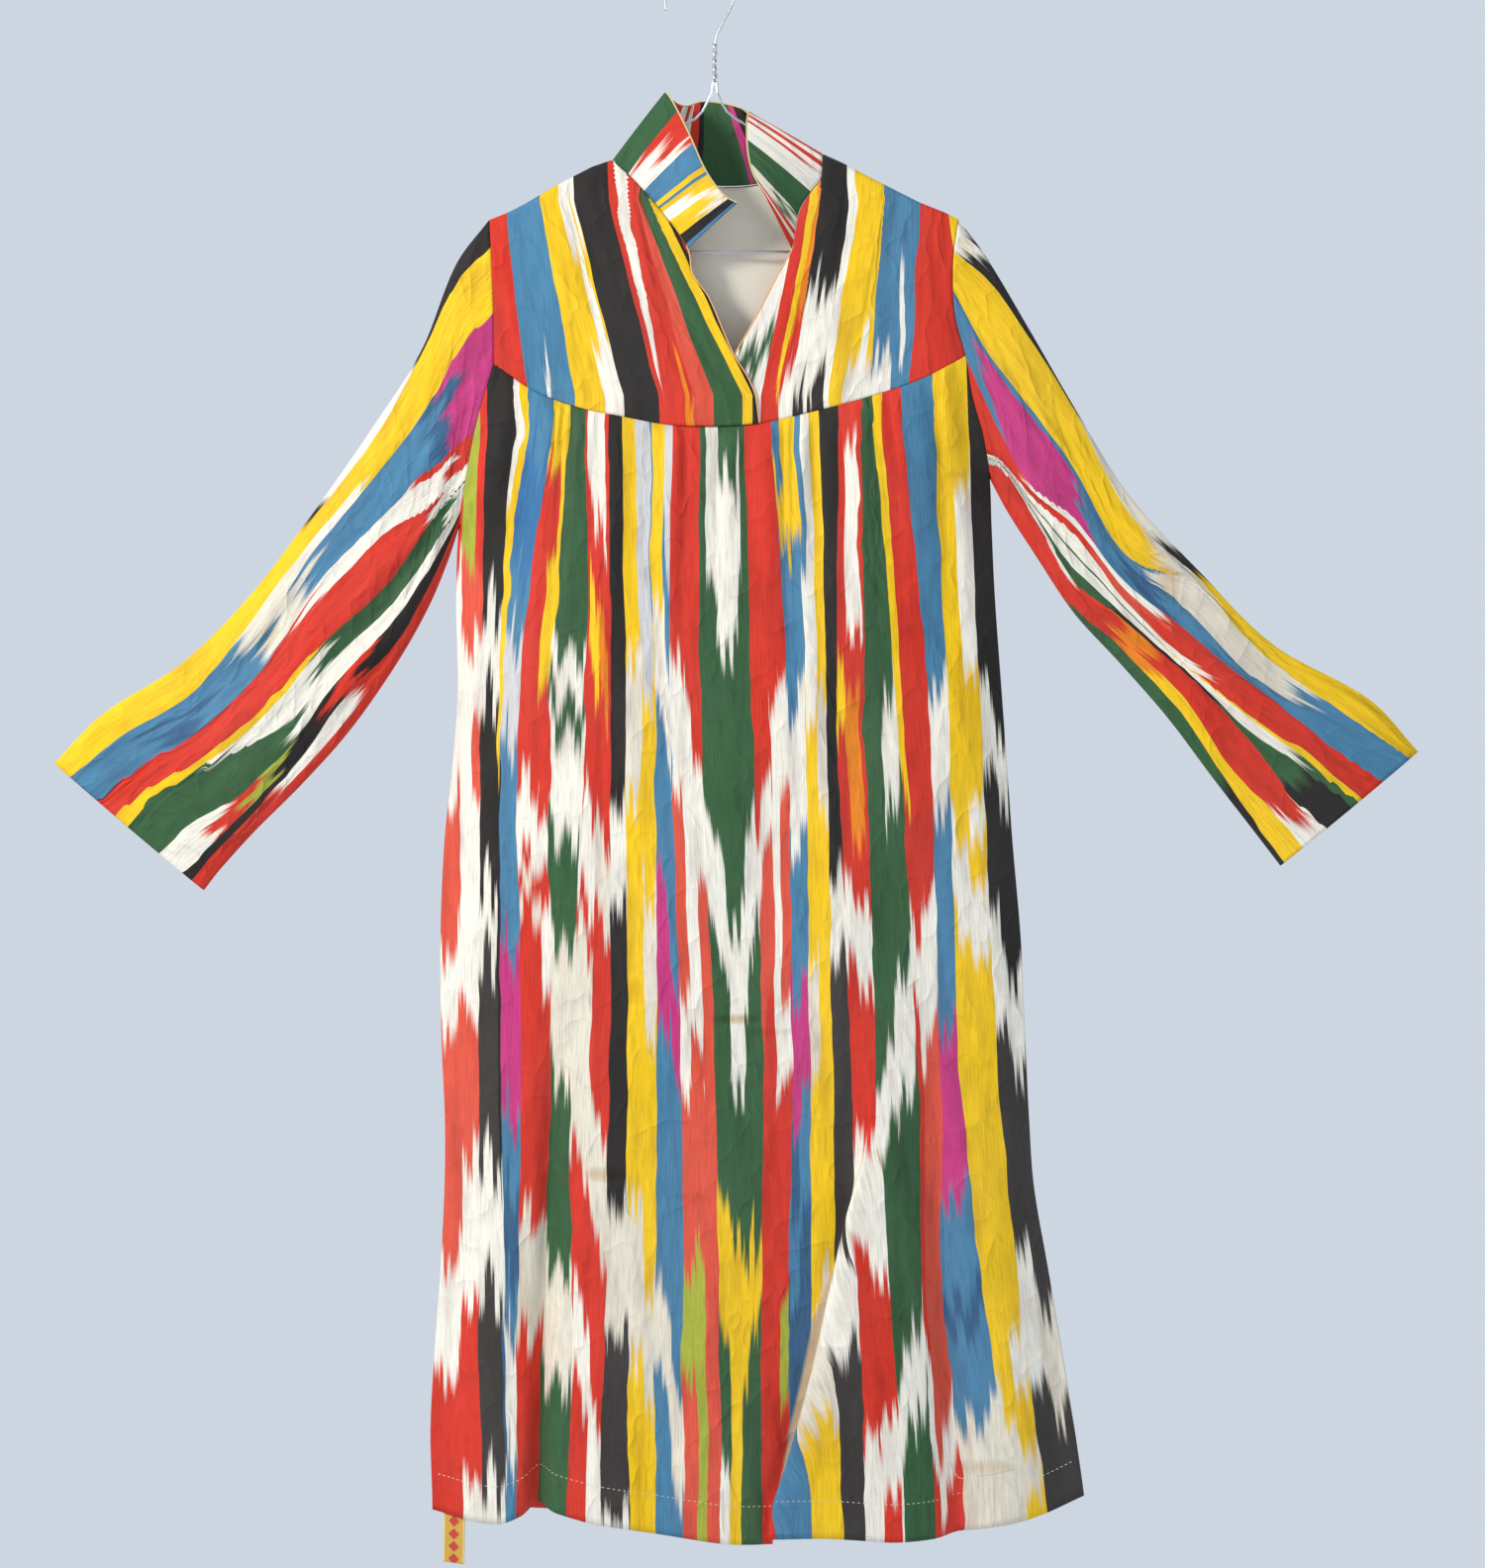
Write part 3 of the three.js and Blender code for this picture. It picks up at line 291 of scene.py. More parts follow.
frontHem = {
    "x": [-229, -200, -170, -152, -139, -124, -96, -57, -15, 27, 62, 68, 102, 161, 201, 228, 273, 297, 327],
    "z": [-1331, -1336.5, -1339, -1332, -1322, -1328, -1335, -1341.5, -1347.5, -1352.5, -1353, -1346.5,
          -1346.5, -1350, -1348, -1343, -1336, -1330, -1319],
}
backHem = {"x": [-229, -90, 49, 200, 327], "z": [-1331, -1336, -1341, -1336, -1319]}
bodyDepth = {
    "z": [-175, -300, -407, -500, -700, -950, -1350],
    "front": [20, 22, 28, 32, 33, 31, 33], "back": [15, 16, 18, 20, 20, 20, 24],
}
rightOpening = {
    "v": [0, 0.08, 0.19, 0.3, 0.38, 0.48, 0.62, 0.7, 0.81, 0.88, 1],
    "x": [-76.4, -57, -33.6, -11.2, -7.3, 6.7, 19.7, 27.4, 40.2, 46.2, 49.6],
    "z": [-178.9, -197.4, -224.3, -256, -277.6, -298.2, -329, -346.9, -367.6, -382.2, -406.2],
}
leftOpening = {
    "v": [0, 0.08, 0.13, 0.19, 0.3, 0.38, 0.48, 0.6, 0.7, 0.85, 1],
    "x": [104.2, 102.5, 94.1, 84, 77.4, 65.9, 55.4, 40.2, 29.9, 10.1, 1],
    "z": [-173.9, -195.5, -206.8, -223.4, -256.5, -277.6, -298.2, -326.4, -344.4, -378, -407.6],
}
backNeck = {
    "u": [0, 0.1, 0.22, 0.36, 0.5, 0.64, 0.78, 0.9, 1],
    "x": [-76.4, -62, -43, -17, 14, 44, 71, 91, 104.2],
    "z": [-178.9, -184.6, -191.5, -197.6, -199.8, -198.6, -191.6, -181.6, -173.9],
}
collarEdge = {
    "q": [0, 0.06, 0.13, 0.2, 0.26, 0.3, 0.35, 0.42, 0.49, 0.57, 0.64, 0.7, 0.75, 0.82, 0.89, 0.95, 1],
    "x": [31.1, 19, 4, -10, -24, -30.2, -28, -15, 0, 20, 33, 40, 40.3, 39, 40, 44, 50.4],
    "y": [-30, -31, -28, -21, -11, 1, 15, 29, 35, 34, 25, 12, 0, -14, -24, -28, -27],
    "z": [-220.1, -213, -192, -160, -131, -120.1, -122.5, -127, -122, -124, -129, -136, -137.5, -151, -176,
          -194, -206],
    "bow": [3, 4, 5, 5, 4, 3, 0, -2, -3, -3, -2, 0, 3, 5, 5, 4, 3],
}
sleeveSections = {
    "right": {
        "s": [0, 0.08, 0.2, 0.35, 0.5, 0.65, 0.8, 0.92, 1],
        "topX": [-180.9, -209, -238, -280, -334, -387, -445, -512, -552],
        "topZ": [-230, -268, -340, -407, -484, -553, -610, -653, -694],
        "lowX": [-206.9, -217, -234, -262, -300, -340, -381, -411, -425],
        "lowZ": [-491.4, -522, -562, -611, -665, -710, -751, -784, -802],
        "depth": [8, 10, 13, 13, 12, 12, 11, 10, 9],
    },
    "left": {
        "s": [0, 0.08, 0.2, 0.35, 0.5, 0.65, 0.8, 0.92, 1],
        "topX": [219.2, 244, 282, 322, 366, 426, 490, 571, 612],
        "topZ": [-229.3, -263, -327, -396, -466, -531, -594, -640, -684],
        "lowX": [246.3, 261, 285, 318, 358, 399, 438, 472, 495],
        "lowZ": [-448, -476, -514, -564, -608, -655, -707, -751, -781],
        "depth": [8, 10, 13, 13, 12, 12, 11, 10, 9],
    },
}
# Long wrinkles of a sleeve: where each starts and ends along it, its place between the top fold
# and the seam at both, its half width and how far it stands forward.
sleeveFolds = [
    (0, 0.85, 0.93, 0.72, 0.06, 4), (0, 0.6, 0.82, 0.6, 0.05, -4),
    (0.05, 1, 0.66, 0.45, 0.08, 3), (0.3, 1, 0.3, 0.24, 0.09, -3),
]
# Soft folds of the skirt: start x and z, x at the hem, how far each stands forward, half width.
skirtFolds = {
    "front": [(-160, -760, -186, 7, 26), (-60, -700, -86, 6, 34), (14, -820, 18, 8, 38),
              (120, -640, 172, 7, 34), (188, -860, 216, -11, 13), (225, -900, 262, 7, 24)],
    "back": [(-140, -700, -165, 7, 30), (-60, -780, -72, -6, 22), (30, -640, 34, 7, 40),
             (120, -800, 138, -7, 24), (190, -720, 222, 7, 30)],
}
# The narrow valley and the lap of the front: the line each follows, and how deep it is there.
sharpFolds = {
    "z": [-340, -600, -800, -928, -1000, -1088, -1205, -1274, -1327, -1360],
    "nickX": [-112, -128, -131, -124, -126, -129, -134, -137, -139, -139],
    "nick": [0, 0, 0, 4, 7, 10, 13, 15, 17, 17],
    "lapX": [77, 84, 112, 136, 143, 125, 102.5, 84.4, 67, 65],
    "lap": [0, 0, 0, 0, 5, 13, 18, 19, 17, 15],
}
sharp = {"nickWidth": 9.0, "lapEdge": 2.4, "lapReach": 85.0, "dip": 0.3, "dipReach": 45.0,
         "roll": 13.0, "crest": 5.0, "crestWidth": 6.0, "fullLap": 18.0}
knots = {"nick": 0.16, "lap": 0.63}

stripeGuides = {
    "z": [-407, -634, -970, -1138, -1222, -1327], "home": 2, "far": 60,
    "edges": [
        [-200.8, -205, -204.1, -203.3, -203.3, -201.6],
        [-188.2, -194, -194.9, -193.2, -194, -191.5],
        [-182.3, -186.5, -189, -188.2, -188.2, -184.8],
        [-159.6, -172.2, -171.8, -168, -167.2, -167.2],
        [-154.6, -170.5, -170.5, -166.5, -165.5, -165.5],
        [-146.2, -168, -169.3, -165.5, -164.6, -164.6],
        [-124.3, -153.7, -152, -155.4, -156.2, -156.2],
        [-121.8, -136.9, -133.6, -140.3, -142.8, -143.6],
        [-114.2, -129.4, -128.5, -135.2, -138.2, -140.3],
        [-110.9, -126.8, -126.8, -133.6, -136.9, -138.6],
        [-97.4, -96.6, -110, -108.4, -109.2, -113.4],
        [-94.9, -94.5, -107.9, -106.7, -107.5, -111.7],
        [-87.4, -85.7, -93.2, -93.2, -94.1, -97.4],
        [-81.5, -79, -79.8, -82.3, -84.4, -86.9],
        [-77.3, -75.6, -77.3, -80.6, -83.2, -85.7],
        [-66.4, -63.8, -62.2, -60.5, -60.5, -60.5],
        [-56.3, -50.4, -48.7, -49.6, -49.6, -49.6],
        [-44.9, -40.3, -37.8, -39.5, -39.5, -39.5],
        [-42, -38.6, -37, -38.6, -38.6, -38.6],
        [-31.1, -31.1, -26, -26.9, -26.9, -26.9],
        [-24.4, -26, -16, -15.1, -15.1, -14.3],
        [-16.8, -16.8, -6.7, -4.2, -2.5, -1.7],
        [-10.1, -8.4, 3.4, 4.2, 5, 5.9],
        [-0.8, 0, 12.6, 15.1, 16.8, 17.6],
        [2.5, 6.7, 19.3, 20.2, 21, 21],
        [13.4, 16, 26, 26, 26, 25.2],
        [26.9, 29.4, 37.8, 37, 36.1, 34.4],
        [31.9, 36.1, 46.2, 45.4, 44.5, 43.7],
        [37, 42.8, 52.9, 52.1, 51.2, 52.1],
        [47.9, 58, 63.8, 63, 63, 61.3],
        [53.8, 63.8, 69.7, 67.2, 67.2, 65.5],
        [59.6, 72.2, 77.3, 73.9, 74.8, 70.6],
        [66.4, 79.8, 83.2, 84, 84, 81.5],
        [79.8, 88.2, 92.4, 93.2, 94.1, 92.4],
        [84.8, 91.6, 95.8, 96.6, 97.4, 96.6],
        [91.6, 98.3, 101.6, 102.5, 104.2, 105.8],
        [100, 105.8, 111.7, 112.6, 114.2, 119.3],
        [116.8, 114.2, 127.7, 131, 134.4, 137.8],
        [121, 121.8, 137.8, 144.5, 149.5, 154.6],
        [131, 133.6, 147.8, 157.1, 163, 170.5],
        [136.9, 138.6, 149.5, 158.8, 164.6, 172.2],
        [141.1, 151.2, 165.5, 172.2, 178.1, 184.8],
        [145.3, 164.6, 184, 187.3, 191.5, 198.2],
        [154.6, 170.5, 188.2, 190.7, 196.6, 204.1],
        [170.5, 192.4, 203.3, 205, 213.4, 223.4],
        [198.2, 209.2, 220.1, 240.2, 251.2, 257],
        [211.7, 223.4, 236.9, 254.5, 265.4, 276.4],
        [226.8, 236.9, 253.7, 268.8, 278.9, 294],
        [232.7, 245.3, 263.8, 283.1, 294, 308.3],
    ],
}
# How much the colour changes of each stripe lean, and its colours with the depth where each ends.
frontStories = [
    (0, "red 517 white 710 coral 836 white 899 coral 1100 white 1195 red"),
    (0, "lime 517 coral 592 white 890 coral 1031 white 1148 red 1296 white"),
    (0, "red 504 coral 559 white 626 coral 701 white 890 coral 987 white 1117 red 1279 white"),
    (0, "dark 554 white 626 dark 790 white 848 ash 1025 white 1130 ash 1298 white"),
    (0, "white 466 yellow 685 dark 1037 white 1155 navy 1289 white"),
    (0, "yellow 685 dark 1037 white 1155 navy 1289 white"),
    (0, "blue 428 azure 529 blue 584 grey 672 blue 848 pink 991 blue 1054 navy 1130 blue 1176 white 1277 "
        "blue"),
    (0, "yellow 441 red 718 white 779 red 802 cream 823 red 1084 cream 1182 red"),
    (0, "yellow 448 red 527 yellow 634 red 748 white 785 red 823 white 894 red 1088 cream 1176 red"),
    (0, "yellow 626 red 748 white 785 red 823 white 894 red 1088 cream 1176 red"),
    (1.2, "green 596 white 634 green 664 white 750 green 843 cream 958 green 1117 cream 1210 green"),
    (2, "red 748 white 827 red 857 cream 1046 red 1168 white 1239 red"),
    (2, "white 496 red 563 yellow 638 red 748 white 827 red 857 cream 1046 red 1168 white 1239 red"),
    (2, "white 491 red 567 orange 634 red 750 cream 819 red 995 cream 1092 red 1239 white"),
    (2, "red 750 cream 819 red 995 cream 1092 red 1239 white"),
    (0, "dark 710 white 789 dark 1047 cream 1151 ash 1306 white"),
    (1.5, "yellow 592 cream 708 yellow 1050 cream 1180 yellow"),
    (2, "grey 626 yellow 802 cream 911 yellow 1130 cream 1218 yellow"),
    (2, "blue 591 yellow 802 cream 911 yellow 1130 cream 1218 yellow"),
    (2, "yellow 584 cream 634 white 664 blue 806 pink 938 blue 1159 cream 1229 blue"),
    (2.5, "grey 504 blue 580 white 659 blue 850 pink 928 blue 1189 cream 1281 blue"),
    (4, "red 605 white 718 coral 893 white 974 coral 1126 lime 1210 coral"),
    (4, "red 647 white 938 coral 1117 lime"),
    (4.5, "red 706 white 801 coral"),
    (3.5, "green 745 white 832 green 1064 yellow 1176 green 1285 white"),
    (3, "white 552 green 775 white 874 green 1078 yellow 1190 green 1302 white"),
    (0, "green 441 white 594 green 829 white 963 green 1089 yellow"),
    (-4, "green 451 white 560 green 790 white 886 green 1103 yellow 1201 green"),
    (-4, "green 745 white 832 green 1109 yellow 1163 green"),
    (-4, "red 731 white 779 coral 907 red"),
    (0, "red 648 white 974 red"),
    (-2, "red 634 white 722 coral 905 white 966 red 1157 lime 1243 red"),
    (0, "blue 441 yellow 483 blue 638 white 750 blue 874 pink 985 navy 1054 blue 1130 navy 1222 blue"),
    (0, "yellow 517 blue 638 white 760 blue 886 pink 980 blue 1079 navy 1222 blue"),
    (0, "blue 504 white 634 yellow 840 cream 932 yellow 1134 cream 1231 yellow"),
    (0, "white 634 yellow 840 cream 932 yellow 1134 cream 1231 yellow"),
    (0, "yellow 626 cream 725 yellow 1113 cream 1235 yellow"),
    (0, "dark 779 white 843 ash 1106 white 1176 ash"),
    (0, "red 616 yellow 669 red 798 white 861 red 1012 white 1106 red 1266 white"),
    (0, "red 414 white 575 red 626 orange 753 red 806 white 876 red 1009 white 1117 red 1235 white 1298 red"),
    (0, "red 806 white 876 red 1009 white 1117 red 1226 white"),
    (-2, "green 937 white 994 green 1193 white 1247 green"),
    (-2, "green 644 white 728 green 878 white 975 green 1176 white 1243 green"),
    (-3, "yellow 718 red 827 white 895 red 1195 white 1294 red"),
    (-3, "red 806 white 911 coral 1243 white 1289 red"),
    (0, "blue 634 white 737 blue 924 pink 1064 blue 1147 navy 1176 blue 1252 cream"),
    (0, "yellow 760 white 836 yellow 1247 cream"),
    (0, "yellow 445 white 601 yellow 714 white 743 yellow 785 white 844 yellow 1163 white 1210 yellow 1264 "
        "cream 1298 yellow"),
    (0, "dark 634 white 710 dark 832 white 930 ash 1120 white 1232 ash"),
    (0, "dark 664 white 718 dark 874 white 949 ash 1155 cream 1243 ash"),
]


# The form of the body, as the solids have it.

def lerp(a, b, t):
    return a + (b - a) * t


def ease(t):
    held = np.clip(t, 0, 1)
    return held * held * (3 - 2 * held)


# A curve through one column of a table, read at values of its key column.
def curveOf(table, key, column, bend=1.0):
    k, value = np.array(table[key], float), np.array(table[column], float)
    up, spans = np.sign(k[-1] - k[0]), np.diff(k)
    straight = np.diff(value) / spans
    wide = (value[2:] - value[:-2]) / (k[2:] - k[:-2])
    startSlope = lerp(straight, np.concatenate([straight[:1], wide]), bend)
    endSlope = lerp(straight, np.concatenate([wide, straight[-1:]]), bend)

    def read(at):
        at = np.asarray(at, float)
        i = np.searchsorted(up * k[1:-1], up * at, side="left")
        t = np.clip((at - k[i]) / spans[i], 0, 1)
        lift = t * (1 - t) * ((1 - t) * (startSlope[i] - straight[i]) - t * (endSlope[i] - straight[i]))
        return lerp(value[i], value[i + 1], t) + lift * spans[i]
    return read


rightSide, leftSide = curveOf(bodySides, "z", "right"), curveOf(bodySides, "z", "left")
shoulderZ = curveOf(shoulderLine, "x", "z", 0)
seamZ = {"front": curveOf(frontSeam, "x", "z"), "back": curveOf(backSeam, "x", "z")}
hemZ = {"front": curveOf(frontHem, "x", "z", 0.5), "back": curveOf(backHem, "x", "z")}
nickX, nickDepth = curveOf(sharpFolds, "z", "nickX"), curveOf(sharpFolds, "z", "nick")
lapX, lapDepth = curveOf(sharpFolds, "z", "lapX"), curveOf(sharpFolds, "z", "lap")
depthOf = {face: curveOf(bodyDepth, "z", face) for face in ("front", "back")}
backNeckX, backNeckZ = curveOf(backNeck, "u", "x"), curveOf(backNeck, "u", "z")


def armholeDepth(z, side):
    foot = lerp(body["seamEnds"][side], body["hemEnds"][side], body["armholeShare"][side])
    top = body["shoulderTips"][side]
    w = np.clip((top - z) / (top - foot), 0, 1)
    return 2 * body["armholeOpen"] * np.sqrt(w * (1 - w))


def standOff(x, z, face):
    low, high = rightSide(z), leftSide(z)
    middle = np.clip(1 - np.abs((2 * x - low - high) / (high - low)) ** 3, 0, 1)
    edge = np.where(x < 0, armholeDepth(z, "right"), armholeDepth(z, "left"))
    full = body["cloth"] / 2 + (1 - middle) * edge + middle * depthOf[face](z)
    below = np.maximum(0, shoulderZ(x) - z)
    bend = np.minimum(below, body["shoulderRound"])
    turned = np.sqrt(body["shoulderRound"] ** 2 - (body["shoulderRound"] - bend) ** 2)
    free = turned + body[face + "Slope"] * (below - bend)
    return body["gap"] / 2 + full * (1 - np.exp(-free / full))


def sideFade(u):
    return ease(u / body["sideFadeWidth"]) * ease((1 - u) / body["sideFadeWidth"])


def waves(u, count, wander):
    drift = sum(size * np.sin(rate * u + shift) for size, rate, shift in wander)
    return 0.5 + 0.5 * np.cos(2 * np.pi * (count * u + drift))


def gathered(u, below, face):
    style, fine = gathers[face], fineGathers
    rise = 1 - np.exp(-below / style["rise"])
    fade = np.exp(-(below / style["reach"]) ** 1.5)
    puff = style["puff"] * rise * lerp(body["puffLasting"], 1, np.exp(-below / body["puffReach"]))
    uneven = fine["least"] + (1 - fine["least"]) * np.sin(fine["rate"] * u + fine["shift"])
    small = waves(u, fine["count"], wanders["fine"]) * uneven * fine["height"]
    small = small * (1 - np.exp(-below / fine["rise"])) * np.exp(-below / fine["reach"])
    large = style["height"] * rise * fade * waves(u, style["count"], wanders["main"])
    return sideFade(u) * (large + puff + small)


# Creases: start x and z, end x and z, how far each stands forward, half width and its bow.
def creased(x, z, rows):
    total = np.zeros_like(x)
    for x0, z0, x1, z1, forward, width, bow in rows:
        dx, dz = x1 - x0, z1 - z0
        long = math.hypot(dx, dz)
        t = ((x - x0) * dx + (z - z0) * dz) / long ** 2
        held = np.clip(t, 0, 1)
        away = ((x - x0) * dz - (z - z0) * dx) / long - bow * 4 * held * (1 - held)
        total += forward * np.sin(np.pi * held) ** 0.8 * np.exp(-(away / width) ** 2)
    return total


def sharpFront(x, z):
    fromLap = x - lapX(z)
    step = 1 / (1 + np.exp(-fromLap / sharp["lapEdge"]))
    settle = np.exp(-np.maximum(0, fromLap) / sharp["lapReach"])
    dip = sharp["dip"] * (1 - step) * np.exp(np.minimum(0, fromLap) / sharp["dipReach"])
    fromNick = (x - nickX(z)) / sharp["nickWidth"]
    return lapDepth(z) * (step * settle - dip) - nickDepth(z) * np.exp(-fromNick * fromNick)


creases = {
    "front": [
        (-15, -903, 62, -908, -1.6, 7, 4), (50, -921, 128, -930, -1.3, 8, -5),
        (-10, -1067, 96, -1060, -1.5, 8, 6), (-91, -895, -124, -972, -2.2, 8, 3),
        (-124, -966, -72, -1040, -2.0, 8, -4), (-148, -1150, -92, -1228, -1.8, 9, 6),
        (-190, -1080, -150, -1160, 1.8, 9, -4), (140, -1200, 214, -1240, -1.8, 9, 5),
        (180, -1010, 238, -1090, 1.8, 11, 6), (96, -700, 150, -830, 1.8, 12, 8),
        (-160, -520, -172, -700, -2.4, 12, 6), (-30, -560, -44, -760, -2.0, 14, -8),
        (70, -540, 78, -700, 2.0, 12, 6), (196, -430, 232, -560, -2.6, 10, 8),
        (-172, -430, -196, -560, -2.4, 9, -6), (30, -1120, 26, -1320, -2.0, 12, 5),
        (-60, -1120, -58, -1330, 2.4, 12, -5), (150, -1180, 132, -1335, 2.0, 14, 6),
        (240, -1140, 262, -1330, -2.4, 12, 5),
    ],
    "back": [
        (-120, -560, -128, -760, -2.2, 12, 6), (10, -620, -4, -860, -2.0, 13, 8),
        (110, -500, 128, -690, 2.2, 12, -6), (190, -430, 226, -560, -2.4, 10, 6),
        (-170, -430, -194, -570, -2.2, 10, -5), (60, -930, 150, -950, -1.5, 8, 5),
        (-150, -900, -70, -918, -1.4, 8, -5), (-30, -1130, -36, -1325, 2.2, 12, 6),
        (90, -1100, 100, -1330, -2.2, 13, 5), (170, -1140, 196, -1320, 2.0, 12, -6),
        (-140, -1120, -150, -1325, -2.0, 12, 5),
    ],
    "yokes": [
        (-150, -330, -60, -385, -1.4, 7, 5), (-120, -250, -84, -340, 1.2, 9, 4),
        (-30, -300, 10, -390, -1.2, 8, 4), (120, -240, 106, -370, -1.2, 9, 5),
        (190, -330, 120, -380, -1.4, 8, -5), (170, -250, 190, -330, 1.0, 9, 4),
    ],
}
hemSeam = {"rise": 32.0, "groove": 0.8, "width": 2.6, "lift": 0.7, "ends": 0.012, "points": 260}


def skirtOff(x, z, u, face, fine=0.0):
    below = np.maximum(0, seamZ[face](x) - z)
    folds = softFolds(x, z, face)
    if face == "front":
        folds = folds + sharpFront(x, z)
    return standOff(x, z, face) + gathered(u, below, face) + sideFade(u) * (folds + fine)


def softFolds(x, z, face):
    forward = np.zeros_like(x)
    for startX, startZ, hemX, out, width in skirtFolds[face]:
        down = (startZ - z) / (startZ - body["hemLevel"][face])
        away = (x - lerp(startX, hemX, down)) / width
        forward += out * ease(down * body["foldGrowth"]) * np.exp(-away * away)
    return forward


# Cloth pieces.

weights = {"silk": 0.9, "cotton": 0.7}


def meshPiece(name, points, faces, material):
    mesh = bpy.data.meshes.new(name)
    mesh.from_pydata((points / 1000).tolist(), [], faces)
    mesh.shade_smooth()
    mesh.materials.append(material)
    return added(name, mesh)


def takePlace(piece, slot, *solids):
    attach(piece, "root")
    if solids:
        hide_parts(*solids)
    return piece


# A cloth panel on a grid of points, with the place of each point on the flat cloth.
def clothPiece(name, grid, across, down, material, thick, closed=False):
    rows, columns = grid.shape[:2]
    j, i = np.mgrid[0:rows - 1, 0:columns if closed else columns - 1]
    ahead = (i + 1) % columns
    corners = [j * columns + i, (j + 1) * columns + i, (j + 1) * columns + ahead, j * columns + ahead]
    faces = np.stack(corners, axis=-1).reshape(-1, 4)
    place = np.stack([across, down], axis=-1).reshape(-1, 2)
    piece = meshPiece(name, grid.reshape(-1, 3), faces.tolist(), material)
    layer = piece.data.uv_layers.new(name="cloth")
    layer.data.foreach_set("uv", (place[faces.reshape(-1)] / 1000).ravel())
    shell = piece.modifiers.new("thickness", "SOLIDIFY")
    shell.thickness, shell.offset = thick / 1000, 0
    return piece


# Where a point lies across the flat cloth, from guide lines that follow the stripes.
def clothAcross(x, at, chart):
    keys, flat = chart["z"], chart["edges"]
    lines = np.array([curveOf({"z": keys, "x": line}, "z", "x")(at).ravel() for line in flat])
    home = np.array([line[chart["home"]] for line in flat])
    far = chart["far"]
    lines = np.vstack([lines[:1] - far, lines, lines[-1:] + far]).T
    home = np.concatenate([home[:1] - far, home, home[-1:] + far])
    found = [np.interp(value, line, home) for value, line in zip(x.ravel(), lines)]
    return np.array(found).reshape(x.shape)


# The bands of a chart: each stripe ends on its guide line, and the last one at a given place.
def bandsOf(chart, stories, last, size=1):
    ends = [line[chart["home"]] * size for line in chart["edges"]] + [last]
    return [(end, lean, story) for end, (lean, story) in zip(ends, stories)]


# Columns or rows between 0 and 1 that lie closer together around some places.
def closer(count, places):
    t = np.linspace(0, 1, 2000)
    density = 1 + sum(strength * np.exp(-((t - place) / width) ** 2) for place, strength, width in places)
    total = np.cumsum(density)
    total = (total - total[0]) / (total[-1] - total[0])
    return np.interp(np.linspace(0, 1, count), total, t)


def columnX(u, z, face):
    right, left = rightSide(z), leftSide(z)
    if face == "back":
        return lerp(right, left, u)
    nick, lap = nickX(z), lapX(z)
    first = lerp(right, nick, u / knots["nick"])
    second = lerp(nick, lap, (u - knots["nick"]) / (knots["lap"] - knots["nick"]))
    third = lerp(lap, left, (u - knots["lap"]) / (1 - knots["lap"]))
    return np.where(u < knots["nick"], first, np.where(u < knots["lap"], second, third))


# The height at which each column of a skirt meets a line, such as the hem.
def meet(u, face, line, start):
    z = np.full_like(u, start)
    for turn in range(6):
        z = line(columnX(u, z, face))
    return z


def skirtLevels(u, face):
    top = meet(u, face, seamZ[face], body["seamEnds"]["right"])
    foot = meet(u, face, hemZ[face], body["hemLevel"]["front"])
    top[0], top[-1] = body["seamEnds"]["right"], body["seamEnds"]["left"]
    foot[0], foot[-1] = body["hemEnds"]["right"], body["hemEnds"]["left"]
    return top - body["gap"] / 2, foot


# crowds: where a panel's columns lie closer, how much, and how wide the place is.
skirt = {
    "rows": 240, "topCrowd": 0.35, "patternLength": 1420.0,
    "columns": {"front": 176, "back": 130},
    "crowds": {"front": [(knots["nick"], 2.5, 0.02), (knots["lap"], 5.0, 0.016), (0, 1.5, 0.02),
                         (1, 1.5, 0.02)],
               "back": [(0, 1.5, 0.02), (1, 1.5, 0.02)]},
    "backPattern": {"x": 60, "z": 70, "scale": 0.93},
}
# Where painted shade runs beside the lap's edge: its top and foot, its widest, its gap from the edge, the
# shape of its taper and the least width drawn.
turned = {"top": -1118.0, "foot": -1322.0, "width": 15.0, "lead": 2.0, "shape": (0.8, 0.6), "least": 0.5}


def skirtSurface(u, z, face, foot):
    x = columnX(u, z, face)
    above = z - foot
    groove = -hemSeam["groove"] * np.exp(-((above - hemSeam["rise"]) / hemSeam["width"]) ** 2)
    fine = creased(x, z, creases[face]) + groove
    off = skirtOff(x, z, u, face, fine)
    if face == "back":
        return np.stack([x, off, z], axis=-1)
    crest = (x - lapX(z) - sharp["crest"]) / sharp["crestWidth"]
    rolled = x - sharp["roll"] * lapDepth(z) / sharp["fullLap"] * np.exp(-crest * crest)
    return np.stack([rolled, -off, z], axis=-1)


# Painted shade beside the lap's edge: a light brown strip on the cloth just left of the edge, where the
# fold's flank lies in shadow.
def lapShadeStrip(x, z):
    share = np.clip((turned["top"] - z) / (turned["top"] - turned["foot"]), 0, 1)
    slant, fullness = turned["shape"]
    wide = turned["width"] * np.sin(np.pi * share ** slant) ** fullness
    near = lapX(z) - turned["lead"] - x
    return ease((near + 1) / 2) * ease((wide - near) / 2) * (wide > turned["least"])


